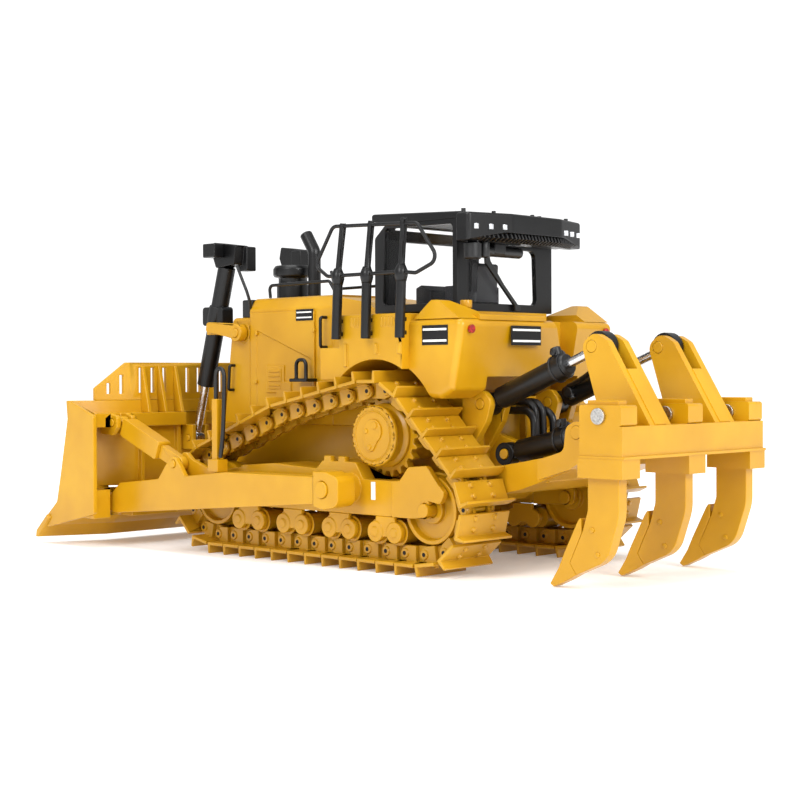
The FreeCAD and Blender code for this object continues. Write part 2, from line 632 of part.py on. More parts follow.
def fuel_tank():
    tank = prism([(TANK_FRONT, 33.0), (TANK_FRONT, TANK_TOP), (TANK_BACK, TANK_TOP, 1.4), (-35.4, 34.6, 1.2),
                  (-32.2, 32.9, 1.0), (-30.0, 33.0)], -TANK_HALF, TANK_HALF)
    tank = softened(tank, 1.2, lambda e: e.BoundBox.XMax < -35 and e.BoundBox.ZLength > 8)
    recess = prism([(-2.8, 51), (-11.4, 51), (-11.4, 30), (-8.8, 30), (-8.8, 38)], TANK_BACK - 1, -33.4, "yz")
    saddle = block(HULL_BACK, TANK_FRONT, -HULL_HALF, HULL_HALF, 30, 33.0)
    cylinder_room = block(TANK_BACK - 1, HULL_BACK, -13.8, 13.8, 30, 37.0)
    tank = cut(tank, arch_cutter(), recess, saddle, cylinder_room)
    lip = prism([(-37.4, TANK_TOP - 0.2), (-37.4, TANK_TOP + 0.9, 0.8), (-35.0, TANK_TOP + 0.9, 0.8), (-35.0, TANK_TOP - 0.2)],
                -1.8, 17.6)
    hump = prism([(TANK_FRONT - 0.8, TANK_TOP), (-29.8, 51.3, 0.8), (-31.6, 51.3, 1.2), (-36.8, TANK_TOP)], 15.0,
                 TANK_HALF - 0.4)
    slope = prism([(14.0, 52), (14.0, TANK_TOP + 1.0), (20.2, 51.5), (20.2, 52)], TANK_BACK, TANK_FRONT, "yz")
    hump = cut(hump, slope)
    x, y = FILLER
    neck = Part.makeCylinder(0.8, 2.4, V(x, y, TANK_TOP))
    cap = Part.makeCylinder(1.15, 1.5, V(x, y, TANK_TOP + 2.2))
    keep("fuel_tank", fuse(tank, lip, *both(hump)))
    keep("fuel_cap", cut(fuse(neck, cap), hump))
    lens = Part.makeCylinder(0.8, 0.5, V(TANK_BACK + 0.35, TANK_HALF - 2.6, 45.8), V(-1, 0, 0))
    keep("reflectors", both(cut(lens, tank)))


def exhaust():
    return bar([(26.3, 0, HOOD_TOP), (26.3, 0, 64.6), (29.0, 0, 68.6)], 1.4, 2.4)


def precleaner():
    return turned([(0, 0), (3.6, 0), (3.6, 3.2), (3.2, 3.6), (3.2, 4.9), (4.2, 5.1), (4.4, 5.6), (4.4, 6.9), (3.9, 7.6),
                   (0, 7.9)], (33.4, 0, HOOD_TOP))


def bodywork():
    keep("main_frame", main_frame())
    keep("radiator_guard", radiator_guard())
    keep("radiator_grille", radiator_grille())
    keep("hood", hood())
    keep("engine_doors", *both(engine_door()))
    keep("cowl", cowl())
    keep("fenders", *both(fender()))
    fuel_tank()
    keep("exhaust_stack", exhaust())
    keep("precleaner", precleaner())


# ---------------------------------------------------------------- cab
SIDE_WINDOW = [(-27.7, 51.2, 0.5), (-27.7, 66.2, 0.8), (-9.6, 66.4, 0.8), (-9.0, 51.2, 0.8)]
REAR_WINDOW = [(-9.6, 51.2, 1.2), (-9.2, 62.0, 1.6), (11.0, 62.0, 0.6), (11.0, 51.2, 0.6)]
FRONT_WINDOW = [(-12.4, 51.6, 0.9), (-12.4, 64.2, 0.9), (7.2, 64.2, 0.9), (7.2, 51.6, 0.9)]
FRONT_GAP = [(-11.4, 66.3), (-11.4, 66.9), (11.4, 66.9), (11.4, 66.3)]


def cab_frame():
    """The roll-over frame: four walls with window openings, and a front that leans back at the top."""
    shell = prism([(CAB_BACK, PLATFORM_Z), (CAB_BACK, CAB_TOP), (CAB_FRONT - 3.0, CAB_TOP), (CAB_FRONT, 64.6, 1.0),
                   (CAB_FRONT, PLATFORM_Z)], -CAB_HALF, CAB_HALF)
    room = prism([(CAB_BACK + CAB_WALL, PLATFORM_Z + 0.8), (CAB_BACK + CAB_WALL, CAB_TOP + 1),
                  (CAB_FRONT - 3.4 - CAB_WALL, CAB_TOP + 1), (CAB_FRONT - CAB_WALL, 64.4),
                  (CAB_FRONT - CAB_WALL, PLATFORM_Z + 0.8)], -CAB_HALF + CAB_WALL, CAB_HALF - CAB_WALL)
    openings = [prism(SIDE_WINDOW, -CAB_HALF - 1, CAB_HALF + 1)]
    openings.append(prism(REAR_WINDOW, CAB_BACK - 1, CAB_BACK + CAB_WALL + 1, "yz"))
    openings.append(prism(FRONT_WINDOW, CAB_FRONT - CAB_WALL - 1, CAB_FRONT + 1, "yz"))
    openings.append(prism(FRONT_GAP, CAB_FRONT - 6, CAB_FRONT + 1, "yz"))
    return cut(shell, room, *openings)


def cab_windows():
    inset = (CAB_WALL - GLASS) / 2
    side = prism(SIDE_WINDOW, CAB_HALF - inset - GLASS, CAB_HALF - inset)
    rear = prism(REAR_WINDOW, CAB_BACK + inset, CAB_BACK + inset + GLASS, "yz")
    front = prism(FRONT_WINDOW, CAB_FRONT - inset - GLASS, CAB_FRONT - inset, "yz")
    return [side, mirrored(side), rear, front]


def cab_roof():
    roof = prism([(CAB_BACK - 1.0, CAB_TOP), (CAB_BACK - 1.0, ROOF_TOP - 1.0), (CAB_FRONT + 0.8, ROOF_TOP),
                  (CAB_FRONT + 0.8, CAB_TOP + 0.8), (CAB_FRONT - 3.0, CAB_TOP)], -CAB_HALF, CAB_HALF)
    return softened(roof, 0.5, lambda e: e.BoundBox.ZMin > ROOF_TOP - 1.1)


def canopy():
    """The wide beam behind the roof, with its corners cut back and its underside chamfered."""
    back = CAB_BACK - 1.0
    plan = [(back, 14.2), (back - 1.1, 14.2), (back - 1.1, CANOPY_HALF, 0.5), (-34.2, CANOPY_HALF, 1.0), (-37.0, 7.4, 3.0),
            (-37.0, -7.4, 3.0), (-34.2, -CANOPY_HALF, 1.0), (back - 1.1, -CANOPY_HALF, 0.5), (back - 1.1, -14.2),
            (back, -14.2)]
    body = prism(plan, CANOPY_LOW, CANOPY_TOP, "xy")
    under = prism([(-38, CANOPY_LOW - 0.5), (-38, CANOPY_LOW + 1.6), (-36.4, CANOPY_LOW + 1.6), (-34.0, CANOPY_LOW),
                   (-34.0, CANOPY_LOW - 0.5)], -CANOPY_HALF - 1, CANOPY_HALF + 1)
    return softened(cut(body, under), 0.6, lambda e: e.BoundBox.ZMin > CANOPY_TOP - 0.01)


def seat():
    cushion = block(-24.0, -17.6, -3.6, 3.6, 51.6, 53.6)
    back = prism([(-24.0, 53.6), (-22.4, 53.6), (-22.8, 59.4, 0.6), (-24.4, 59.4, 0.6)], -3.1, 3.1)
    base = block(-22.6, -19.0, -2.2, 2.2, PLATFORM_Z + 0.8, 51.6)
    arms = both(block(-22.2, -17.8, 4.2, 5.8, PLATFORM_Z + 0.8, 55.0))
    return [fuse(softened(cushion, 0.6, along((0, 0, 1))), back, base)] + arms


def console():
    desk = prism([(-12.4, PLATFORM_Z + 0.8), (-12.4, 54.4, 0.4), (-9.6, 55.6, 0.4), (-8.2, 55.0),
                  (-8.2, PLATFORM_Z + 0.8)], -4.0, 4.0)
    return desk


def cab():
    keep("cab_frame", cab_frame())
    keep("cab_windows", cab_windows())
    keep("cab_roof", cab_roof())
    keep("rear_canopy", canopy())
    keep("cab_interior", seat(), console())
    lamp = turned([(0, 0), (1.5, 0), (1.7, 0.3), (1.7, 3.0), (0.9, 3.2), (0.9, CANOPY_LOW - 59.2), (0, CANOPY_LOW - 59.2)],
                  (-32.4, 13.9, 59.2))
    small = turned([(0, 0), (0.9, 0), (1.0, 0.2), (1.0, CANOPY_LOW - 59.6), (0, CANOPY_LOW - 59.6)], (-32.8, 10.9, 59.6))
    wiper = prism([(6.2, 61.4), (7.2, 61.4), (6.9, 58.8), (2.6, 54.8), (-2.0, 50.6), (-3.2, 50.6), (1.6, 55.0), (5.6, 59.4)],
                  CAB_BACK - 0.9, CAB_BACK - 0.3, "yz")
    stem = block(CAB_BACK - 0.9, CAB_BACK, -3.4, -1.8, 49.9, 50.9)
    keep("rear_lamps_and_wiper", lamp, small, fuse(wiper, stem))


# ---------------------------------------------------------------- handrails
RAIL_Y = 26.6
POSTS = ((-8.3, -8.9, -10.4), (-16.4, -16.8, -18.1), (-25.4, -25.9, -26.7))


def handrail():
    """The guard rail beside the cab: three sleeved posts with a bent loop of thin bar."""
    knots = [(knot, RAIL_Y, 56.6) for _, knot, _ in POSTS]
    loop = bar([knots[0], (-6.0, RAIL_Y, 56.6), (-2.6, RAIL_Y, 58.8), (-7.6, RAIL_Y, 66.2),
                (-30.0, RAIL_Y, 65.4), (-35.4, RAIL_Y, 58.4), (-29.6, RAIL_Y, 56.2), knots[2]], 0.36, 1.6)
    middle = [rod(knots[0], knots[1], 0.36), rod(knots[1], knots[2], 0.36)]
    posts = []
    for foot, knot, top in POSTS:
        knee = turned([(0, -1.7), (1.0, -1.7), (1.25, -0.7), (1.25, 0.2), (0.75, 1.4), (0, 1.4)], (knot, RAIL_Y, 56.6))
        posts += [rod((foot, RAIL_Y, 44.3), (knot, RAIL_Y, 55.6), 0.95), knee,
                  rod((knot, RAIL_Y, 56.4), (top, RAIL_Y, 66.6), 0.62),
                  block(foot - 0.6, foot + 0.6, FENDER_OUT, RAIL_Y, 44.9, 45.7),
                  block(foot - 0.6, foot + 0.6, FENDER_OUT, RAIL_Y, 47.4, 48.2)]
    return fuse(loop, *middle, *posts)


def small_rails():
    """The bent bars beside the stack and precleaner, and the grab handles on the nose, door and step."""
    hood_rail = bar([(29.4, 10.2, HOOD_TOP - 1.0 + 1.0), (29.8, 10.2, 56.9), (10.8, 10.2, 57.1), (8.6, 10.2, HOOD_TOP)],
                    0.34, 1.0)
    nose_grip = bar([(39.4, BODY_HALF, 39.6), (39.4, BODY_HALF + 1.5, 39.6), (39.8, BODY_HALF + 1.5, 34.2),
                     (39.8, BODY_HALF, 34.2)], 0.34, 0.5)
    door_grip = bar([(9.8, BODY_HALF, 49.4), (9.8, BODY_HALF + 1.8, 49.4), (9.8, BODY_HALF + 1.8, 43.2),
                     (9.8, BODY_HALF, 43.2)], 0.34, 0.6)
    return hood_rail, nose_grip, door_grip


def rails():
    keep("left_handrail", handrail())
    hood_rail, nose_grip, door_grip = small_rails()
    step = fuse(block(12.2, 17.6, BODY_HALF + PANEL, BODY_HALF + 3.6, 36.0, 36.7),
                bar([(13.4, BODY_HALF + 2.6, 36.7), (13.4, BODY_HALF + 2.6, 40.6), (16.4, BODY_HALF + 2.6, 40.6),
                     (16.4, BODY_HALF + 2.6, 36.7)], 0.40, 1.2))
    keep("grab_rails_and_steps", *both(hood_rail), *both(nose_grip), *both(door_grip), *both(step))


# ---------------------------------------------------------------- blade
def wing_shift(y):
    """How far forward of the middle section the wing's face stands at a distance y from the middle."""
    return max(0.0, abs(y) - WING_Y) * math.tan(math.radians(WING_ANGLE))


FACE = [(67.6, BLADE_LOW + 2.2), (61.6, 9.2), (59.2, 19.5), (60.0, BLADE_TOP)]


def mould_section(shift):
    """The moulding board's cross-section, curved like a plough and moved forward by shift."""
    thick = MOULD_THICK

    def moved(points, back):
        return [V(x + shift - back, 0, z) for x, z in points]
    front = moved(FACE, 0)
    rear = moved(FACE, thick)
    curve_front = Part.BSplineCurve()
    curve_front.interpolate(front)
    curve_rear = Part.BSplineCurve()
    curve_rear.interpolate(rear)
    return Part.Wire([curve_front.toShape(), Part.makeLine(front[-1], rear[-1]),
                      curve_rear.toShape(), Part.makeLine(rear[0], front[0])])


def mould_board():
    """The middle section is straight, and each wing runs forward and outward at the wing angle."""
    wire = mould_section(0)
    middle = Part.Face(wire)
    middle.translate(V(0, -WING_Y, 0))
    middle = middle.extrude(V(0, 2 * WING_Y, 0))
    wing = Part.Face(mould_section(0))
    wing.translate(V(0, WING_Y, 0))
    reach = BLADE_HALF - WING_Y - 1.0
    wing = wing.extrude(V(wing_shift(BLADE_HALF - 1.0), reach, 0))
    return middle, wing


def end_plate():
    shift = wing_shift(BLADE_HALF)
    tip = FACE[0][0] + shift
    return prism([(54.2, 7.6, 0.6), (54.2, 28.8, 0.6), (63.0, BLADE_TOP, 0.8), (66.6, 16.0, 4.0), (68.2, 9.6, 1.0),
                  (tip + 0.6, 4.4), (tip - 2.2, 3.8)], BLADE_HALF - 1.0, BLADE_HALF)


def blade():
    middle, wing = mould_board()
    rear_z = [(6.4, 12.6), (26.2, 29.2)]
    pieces = [middle, *both(wing), *both(end_plate())]
    for low, high in rear_z:
        # The box beams run straight across behind the board; the board's own curve closes their front.
        depth = FACE[1][0] if low < 20 else FACE[2][0]
        pieces.append(block(55.6, depth - 0.4, -BLADE_HALF + 1.0, BLADE_HALF - 1.0, low, high))
        for side in (1, -1):
            pieces.append(prism([(depth - 0.5, side * WING_Y), (depth - 0.5 + wing_shift(BLADE_HALF - 1), side * (BLADE_HALF - 1)),
                                 (depth - 0.5, side * (BLADE_HALF - 1))], low, high, "xy"))
    # Upright webs between the two beams.
    for y in (6.0, 13.8, 24.0):
        web = block(57.0, FACE[2][0] - 0.3, y - 0.5, y + 0.5, 12.6, 26.2)
        pieces += both(web)
    body = fuse(*pieces)
    ears = [block(53.9, 58.0, LIFT_Y - 2.4, LIFT_Y - 1.4, 20.6, 26.2), block(53.9, 58.0, LIFT_Y + 1.4, LIFT_Y + 2.4, 20.6, 26.2),
            block(57.6, 59.0, LIFT_Y - 2.4, LIFT_Y + 2.4, 20.6, 26.2)]
    brace_ears = [prism([(59.5, 24.6), (55.6, 24.4), (53.6, 26.2, 0.8), (53.6, 28.6, 0.8), (55.6, 29.0), (59.5, 29.0)],
                        y - 0.6, y + 0.6) for y in (ARM_Y - 2.0, ARM_Y + 2.0)]
    arm_ears = [prism([(62.5, 6.4), (62.5, 12.6), (BLADE_PIN[0] - 0.4, 12.6, 1.6), (BLADE_PIN[0] - 2.4, 9.6, 1.0),
                       (BLADE_PIN[0] - 0.4, 6.6, 1.6)], y - 0.6, y + 0.6) for y in (ARM_Y - 2.3, ARM_Y + 2.3)]
    room = block(BLADE_PIN[0] - 8, 61.9, ARM_Y - 2.95, ARM_Y + 2.95, 5.4, 13.0)
    brace_room = block(50, 57.6, ARM_Y - 1.4, ARM_Y + 1.4, 24.0, 29.6)
    lift_room = block(50, 58.4, LIFT_Y - 2.8, LIFT_Y + 2.8, 24.0, 30.0)
    body = cut(body, *both(room), *both(brace_room), *both(lift_room))
    body = fuse(body, *[s for e in ears + brace_ears + arm_ears for s in both(e)])
    holes = [pin(BLADE_PIN, ARM_Y - 5, ARM_Y + 5, 1.0 + RUN), pin(BRACE_TOP, ARM_Y - 4, ARM_Y + 4, 0.8 + RUN),
             pin(LIFT_PIN, LIFT_Y - 4, LIFT_Y + 4, LIFT_PIN_R + RUN)]
    return cut(body, *[s for h in holes for s in both(h)])


def spill_guard():
    """The slotted plate along the top edge, with leaning ribs behind it."""
    low = BLADE_TOP
    x = FACE[3][0] - MOULD_THICK
    plate = prism([(-WING_Y, low), (-WING_Y, GUARD_TOP), (WING_Y, GUARD_TOP), (WING_Y, low)], x, x + 0.9, "yz")
    slots = [block(x - 1, x + 2, y - 0.45, y + 0.45, low + 1.6, GUARD_TOP - 1.2) for y in
             [-23.2 + 3.314 * i for i in range(15)]]
    plate = cut(plate, *slots)
    wing_reach = BLADE_HALF - 1.0 - WING_Y
    side = prism([(0, low), (0, GUARD_TOP), (0.8, GUARD_TOP), (wing_reach - 5.2, low + 2.6), (wing_reach - 5.2, low)],
                 0, 0.9, "yz")
    holes = [block(-1, 2, y - 0.4, y + 0.4, low + 1.4, top) for y, top in ((1.8, low + 5.6), (4.4, low + 3.8))]
    side = cut(side, *holes)
    # The wing's part of the guard is sheared forward with the wing.
    shear = FreeCAD.Matrix()
    shear.A12 = math.tan(math.radians(WING_ANGLE))
    side = side.transformGeometry(shear)
    side.translate(V(x, WING_Y, 0))
    return [plate] + both(side)


def guard_ribs():
    x = FACE[3][0] - MOULD_THICK
    ribs = [prism([(55.8, 29.2), (x, 29.2), (x, GUARD_TOP - 0.8), (x - 0.5, GUARD_TOP - 0.8)], y - 0.45, y + 0.45)
            for y in (3.4, 13.6, 18.2, 22.8)]
    return ribs


def cutting_edge():
    """Three bolted edges along the foot of the board, and the two end bits."""
    x, z = FACE[0]
    section = [(x - 3.4, z + 2.0), (x - 2.9, z + 2.9), (x + 1.3, z - 0.9), (x + 1.6, BLADE_LOW - 0.2), (x + 0.7, BLADE_LOW - 0.2)]
    middle = prism(section, -WING_Y, WING_Y)
    reach = BLADE_HALF - WING_Y + 0.6
    wing = Part.Face(outline(section, "xz", WING_Y)).extrude(V(wing_shift(WING_Y + reach), reach, 0))
    return middle, wing


def push_arm():
    """A box-section arm outside the track, from the trunnion to the blade's lower corner."""
    rear = (-8.6, 15.4)
    front = (53.4, 10.9)
    half = ARM_HEIGHT / 2
    low, high = ARM_Y - ARM_WIDTH / 2, ARM_Y + ARM_WIDTH / 2
    beam = prism([(rear[0], rear[1] - half), (rear[0], rear[1] + half), (18.0, rear[1] + half - 0.2), (21.0, rear[1] + half - 0.5),
                  (front[0], front[1] + half + 0.6, 1.0), (front[0] + 3.6, BLADE_PIN[1] + 1.7, 1.0),
                  (front[0] + 3.6, BLADE_PIN[1] - 1.9, 1.0), (front[0] + 1.0, front[1] - half - 0.8, 1.0)], low, high)
    tongue = fuse(pin(BLADE_PIN, ARM_Y - 1.6, ARM_Y + 1.6, 1.9),
                  block(front[0] + 2.0, BLADE_PIN[0], ARM_Y - 1.6, ARM_Y + 1.6, BLADE_PIN[1] - 1.9, BLADE_PIN[1] + 1.7))
    block_x = TRUNNION[0]
    socket = prism([(rear[0], 12.4), (rear[0], 19.0), (block_x - 1.0, 19.0, 1.6), (block_x - 4.4, 18.0, 1.6),
                    (block_x - 4.4, 12.6, 1.8), (block_x, 11.8, 1.0)], low - 0.2, high + 0.2)
    gusset = prism([(44.6, 12.6), (44.6, 14.6), (36.6, 20.6), (34.4, 21.4, 1.6), (32.2, 19.8), (24.6, 17.4),
                    (24.6, 13.6)], ARM_Y - 2.1, ARM_Y - 1.0)
    gusset_out = prism([(40.6, 12.6), (40.6, 14.6), (36.8, 19.0), (34.6, 20.9, 1.8), (32.4, 18.6), (30.4, 16.0),
                        (30.4, 13.6)], ARM_Y + 1.0, ARM_Y + 2.1)
    arm = fuse(beam, tongue, socket, gusset, gusset_out)
    holes = [pin(TRUNNION, low - 1, high + 1, AXLE_R + RUN), pin(BLADE_PIN, low, high, 1.0 + RUN),
             pin(BRACE_FOOT, low - 1, high + 1, 0.8 + RUN)]
    return cut(arm, *holes)


def toward(start, end, distance):
    """The point at a distance from start on the way to end, both (x, z)."""
    length = math.hypot(end[0] - start[0], end[1] - start[1])
    return (start[0] + (end[0] - start[0]) * distance / length, start[1] + (end[1] - start[1]) * distance / length)


def strip(start, end, width, y0, y1, corner=0.2):
    """A flat bar from start to end (x, z), of the given width, between y0 and y1."""
    length = math.hypot(end[0] - start[0], end[1] - start[1])
    nx, nz = -(end[1] - start[1]) / length * width / 2, (end[0] - start[0]) / length * width / 2
    return prism([(start[0] + nx, start[1] + nz, corner), (end[0] + nx, end[1] + nz, corner),
                  (end[0] - nx, end[1] - nz, corner), (start[0] - nx, start[1] - nz, corner)], y0, y1)


def blade_brace():
    """The sleeve and its screw, from the arm's lug to the blade's upper corner."""
    length = math.hypot(BRACE_TOP[0] - BRACE_FOOT[0], BRACE_TOP[1] - BRACE_FOOT[1])
    sleeve = fuse(strip(toward(BRACE_FOOT, BRACE_TOP, 6.6), toward(BRACE_FOOT, BRACE_TOP, length - 2.4), 4.0,
                        ARM_Y - 1.7, ARM_Y + 1.7, 0.6),
                  strip(toward(BRACE_FOOT, BRACE_TOP, length - 3), BRACE_TOP, 1.8, ARM_Y - 1.1, ARM_Y + 1.1),
                  pin(BRACE_TOP, ARM_Y - 1.1, ARM_Y + 1.1, 1.35))
    screw = fuse(strip(BRACE_FOOT, toward(BRACE_FOOT, BRACE_TOP, 6.6), 3.0, ARM_Y - 0.9, ARM_Y + 0.9, 0.5),
                 pin(BRACE_FOOT, ARM_Y - 0.9, ARM_Y + 0.9, 1.5))
    sleeve = cut(sleeve, pin(BRACE_TOP, ARM_Y - 3, ARM_Y + 3, 0.8 + RUN))
    screw = cut(screw, pin(BRACE_FOOT, ARM_Y - 3, ARM_Y + 3, 0.8 + RUN))
    return [sleeve, screw]


def hose_post():
    """The post on the left arm and the hose loop that it carries."""
    foot_z = 17.6
    post = fuse(block(21.7, 23.3, ARM_Y - 0.9, ARM_Y + 0.9, foot_z, 32.6), block(20.9, 24.1, ARM_Y - 1.4, ARM_Y + 1.4, foot_z, 20.2))
    return post


def blade_pins():
    solids = []
    for place, radius, y0, y1 in ((BLADE_PIN, 1.0, ARM_Y - 3.2, ARM_Y + 3.2), (BRACE_TOP, 0.8, ARM_Y - 2.9, ARM_Y + 2.9),
                                  (BRACE_FOOT, 0.8, ARM_Y - 2.4, ARM_Y + 2.4),
                                  (LIFT_PIN, LIFT_PIN_R, LIFT_Y - 2.6, LIFT_Y + 2.6)):
        solids += both(pin(place, y0, y1, radius))
    return solids


def on_lift_axis(distance, y=None):
    """A point on the lift cylinder's axis, at a distance below its collar."""
    x, z = toward(LIFT_COLLAR, LIFT_PIN, distance)
    return (x, LIFT_Y if y is None else y, z)


def lift_barrel():
    """The barrel with the two-eared collar that its yoke holds."""
    barrel = rod(on_lift_axis(-LIFT_ABOVE), on_lift_axis(LIFT_BELOW), LIFT_BARREL_R)
    collar = rod(on_lift_axis(-4.6), on_lift_axis(-0.2), LIFT_BARREL_R + 0.35)
    x, z = toward(LIFT_COLLAR, LIFT_PIN, -2.4)
    ears = block(x - 3.4, x + 3.6, LIFT_Y - 1.6, LIFT_Y + 1.6, z - 2.1, z + 2.1)
    bore = rod(on_lift_axis(-LIFT_ABOVE + 1.5), on_lift_axis(LIFT_BELOW + 1), LIFT_ROD_R + RUN)
    return cut(fuse(barrel, collar, softened(ears, 0.8, along((0, 1, 0)))), bore)


def lift_rod():
    length = math.hypot(LIFT_PIN[0] - LIFT_COLLAR[0], LIFT_PIN[1] - LIFT_COLLAR[1])
    stem = fuse(rod(on_lift_axis(0), on_lift_axis(length - 0.8), LIFT_ROD_R),
                pin(LIFT_PIN, LIFT_Y - 1.1, LIFT_Y + 1.1, LIFT_EYE_R))
    return cut(stem, pin(LIFT_PIN, LIFT_Y - 3, LIFT_Y + 3, LIFT_PIN_R + LIFT_SLACK))


def lift_yoke():
    """The arm that carries the lift cylinder: a boss on the nose's pivot and a fork round the barrel."""
    x, z = LIFT_COLLAR
    side = prism([(NOSE_PIVOT[0] - 1.6, NOSE_PIVOT[1] - 1.9, 1.5), (NOSE_PIVOT[0] - 1.6, NOSE_PIVOT[1] + 1.9, 1.5),
                  (40.8, z + 0.6, 1.0), (x - 1.6, z + 0.9, 0.8), (x - 1.2, z - 1.3, 0.8), (40.2, z - 2.4, 1.0)],
                 LIFT_Y + LIFT_BARREL_R + 0.6, LIFT_Y + LIFT_BARREL_R + 2.2)
    boss = pin(NOSE_PIVOT, LIFT_Y + LIFT_BARREL_R + 0.6, LIFT_Y + LIFT_BARREL_R + 2.6, 1.9)
    shoulder = block(x - 5.2, x - 3.0, LIFT_Y - 1.4, LIFT_Y + LIFT_BARREL_R + 0.8, z - 1.9, z + 0.3)
    nose_room = block(30, 43.4, 0, BODY_HALF + 0.15, 40, 55)
    barrel = rod(on_lift_axis(-8), on_lift_axis(8), LIFT_BARREL_R)
    collar = rod(on_lift_axis(-4.6), on_lift_axis(-0.2), LIFT_BARREL_R + 0.35)
    yoke = fuse(side, boss, block(x - 3.4, x, LIFT_Y - 1.4, LIFT_Y + LIFT_BARREL_R + 0.8, z - 1.9, z - 0.1), shoulder)
    return cut(yoke, barrel, collar, nose_room, lift_barrel(), pin(NOSE_PIVOT, 0, LIFT_Y + 8, NOSE_PIVOT_R + RUN))


def cylinder_lamps():
    """A saddle at the top of each lift cylinder with a boxed lamp ahead of it and one behind."""
    top = on_lift_axis(-LIFT_ABOVE)
    saddle = prism([(39.6, 62.0, 0.4), (39.0, 66.2, 0.4), (46.6, 67.2, 0.4), (47.2, 64.6, 0.6), (45.8, 61.4, 0.6)],
                   LIFT_Y - 1.8, LIFT_Y + 2.0)
    front = block(42.8, 46.8, LIFT_Y + 2.0, LIFT_Y + 5.0, 63.6, 66.7)
    rear = block(38.2, 41.4, LIFT_Y - 3.4, LIFT_Y - 0.6, 60.6, 66.0)
    room = rod(on_lift_axis(-LIFT_ABOVE), on_lift_axis(4), LIFT_BARREL_R)
    return cut(fuse(softened(front, 0.3, lambda e: True), softened(rear, 0.3, lambda e: True), saddle), room)


def blade_group():
    middle, wing = cutting_edge()
    board = cut(blade(), middle, *both(wing))
    keep("blade", board)
    keep("spill_guard", *spill_guard())
    keep("guard_ribs", *[cut(s, board) for r in guard_ribs() for s in both(r)])
    keep("cutting_edge", middle, *both(wing))
    keep("push_arms", *both(push_arm()))
    sleeve, screw = blade_brace()
    keep("blade_braces", *both(sleeve), *both(screw))
    keep("hose_post", hose_post())
    keep("blade_pins", *blade_pins())
    keep("lift_barrels", *both(lift_barrel()))
    keep("lift_rods", *both(lift_rod()))
    keep("lift_yokes", *both(lift_yoke()))
    keep("cylinder_lamps", *both(cylinder_lamps()))


# ---------------------------------------------------------------- ripper
def ripper_bracket():
    """Ears on the back of the hull for the link, the lift cylinders and the tilt cylinders."""
    def ear(y, half, points):
        return prism(points, y - half, y + half)
    back = HULL_BACK
    upper = [(back, 26.0), (back, 33.0), (back - 1.0, 33.0), (TILT_BASE[0] - 0.5, 34.6, 1.6), (TILT_BASE[0] - 2.9, 32.4, 1.8),
             (TILT_BASE[0] - 1.6, 28.4, 1.6), (back - 1.5, 22.0)]
    ears = [ear(RIPPER_Y + EYE_HALF + 0.2 + EAR_HALF, EAR_HALF, upper),
            ear(RIPPER_Y - EYE_HALF - 0.2 - EAR_HALF, EAR_HALF, upper)]
    lower = [(back, 18.2), (back, 26.5), (back - 2.0, 26.5), (LIFT_BASE[0] - 0.8, 24.6, 1.4), (LIFT_BASE[0] - 2.2, 22.4, 1.4),
             (LIFT_BASE[0] - 0.6, 20.2, 1.4)]
    ears += [ear(RIPPER_LIFT_Y - EYE_HALF - 0.2 - EAR_HALF, EAR_HALF, lower)]
    post = block(back - 1.6, back, 3.9, 11.0, 14.6, 33.0)
    foot_ear = [(back, 14.6), (back, 19.4), (LINK_FRONT_PIN[0] - 0.4, 19.0, 1.2), (LINK_FRONT_PIN[0] - 2.2, 16.6, 1.0),
                (LINK_FRONT_PIN[0] - 0.8, 14.4, 1.0)]
    ears.append(ear(LINK_PLATE_IN - 0.2 - 1.0, 1.0, foot_ear))
    holes = [pin(TILT_BASE, 4, 16, 1.0 + RUN), pin(LIFT_BASE, 4, 16, 1.0 + RUN), pin(LINK_FRONT_PIN, 4, 16, 1.1 + RUN)]
    return cut(fuse(post, *ears), *holes)


def ripper_link():
    """The lower frame: two side plates joined by a cross tube and a belly plate."""
    front, rear = LINK_FRONT_PIN, BEAM_PIN
    side = prism([(front[0] + 1.9, front[1] + 0.4, 1.5), (front[0] + 0.2, front[1] - 2.0, 1.2), (-38.4, 14.9), (-44.0, 16.2),
                  (-56.4, 20.4, 1.0), (-60.4, 22.6, 1.5), (rear[0] - 2.6, rear[1], 1.8), (rear[0] - 0.6, rear[1] + 2.5, 1.8),
                  (rear[0] + 2.4, rear[1] + 1.0, 1.8), (rear[0] + 2.9, 23.6, 1.5), (-52.0, 22.7), (-44.0, 21.2, 1.0),
                  (-37.0, 20.0, 1.2), (front[0] - 0.6, front[1] + 2.1, 1.2)], LINK_PLATE_IN, LINK_PLATE_OUT)
    pad = fuse(prism([(-49.0, 18.2), (-56.4, 20.4, 1.0), (-60.2, 22.6, 1.5), (rear[0] - 2.5, rear[1], 1.8),
                      (rear[0] - 0.6, rear[1] + 2.4, 1.8), (rear[0] + 2.3, rear[1] + 1.0, 1.8), (rear[0] + 2.8, 23.6, 1.5),
                      (-49.0, 21.8)], LINK_PLATE_OUT, LINK_PLATE_OUT + 1.7))
    tube = rod((-48.0, -LINK_PLATE_IN, 19.0), (-48.0, LINK_PLATE_IN, 19.0), 1.5)
    belly = prism([(-38.4, 14.9), (-38.4, 15.9), (-44.0, 17.2), (-56.4, 21.4), (-56.4, 20.4), (-44.0, 16.2)],
                  -LINK_PLATE_IN, LINK_PLATE_IN)
    link = fuse(side, mirrored(side), pad, mirrored(pad), tube, belly)
    holes = [pin(front, 6, 20, 1.1 + RUN), pin(rear, 6, 20, 1.2 + RUN)]
    return cut(link, *[s for h in holes for s in both(h)])


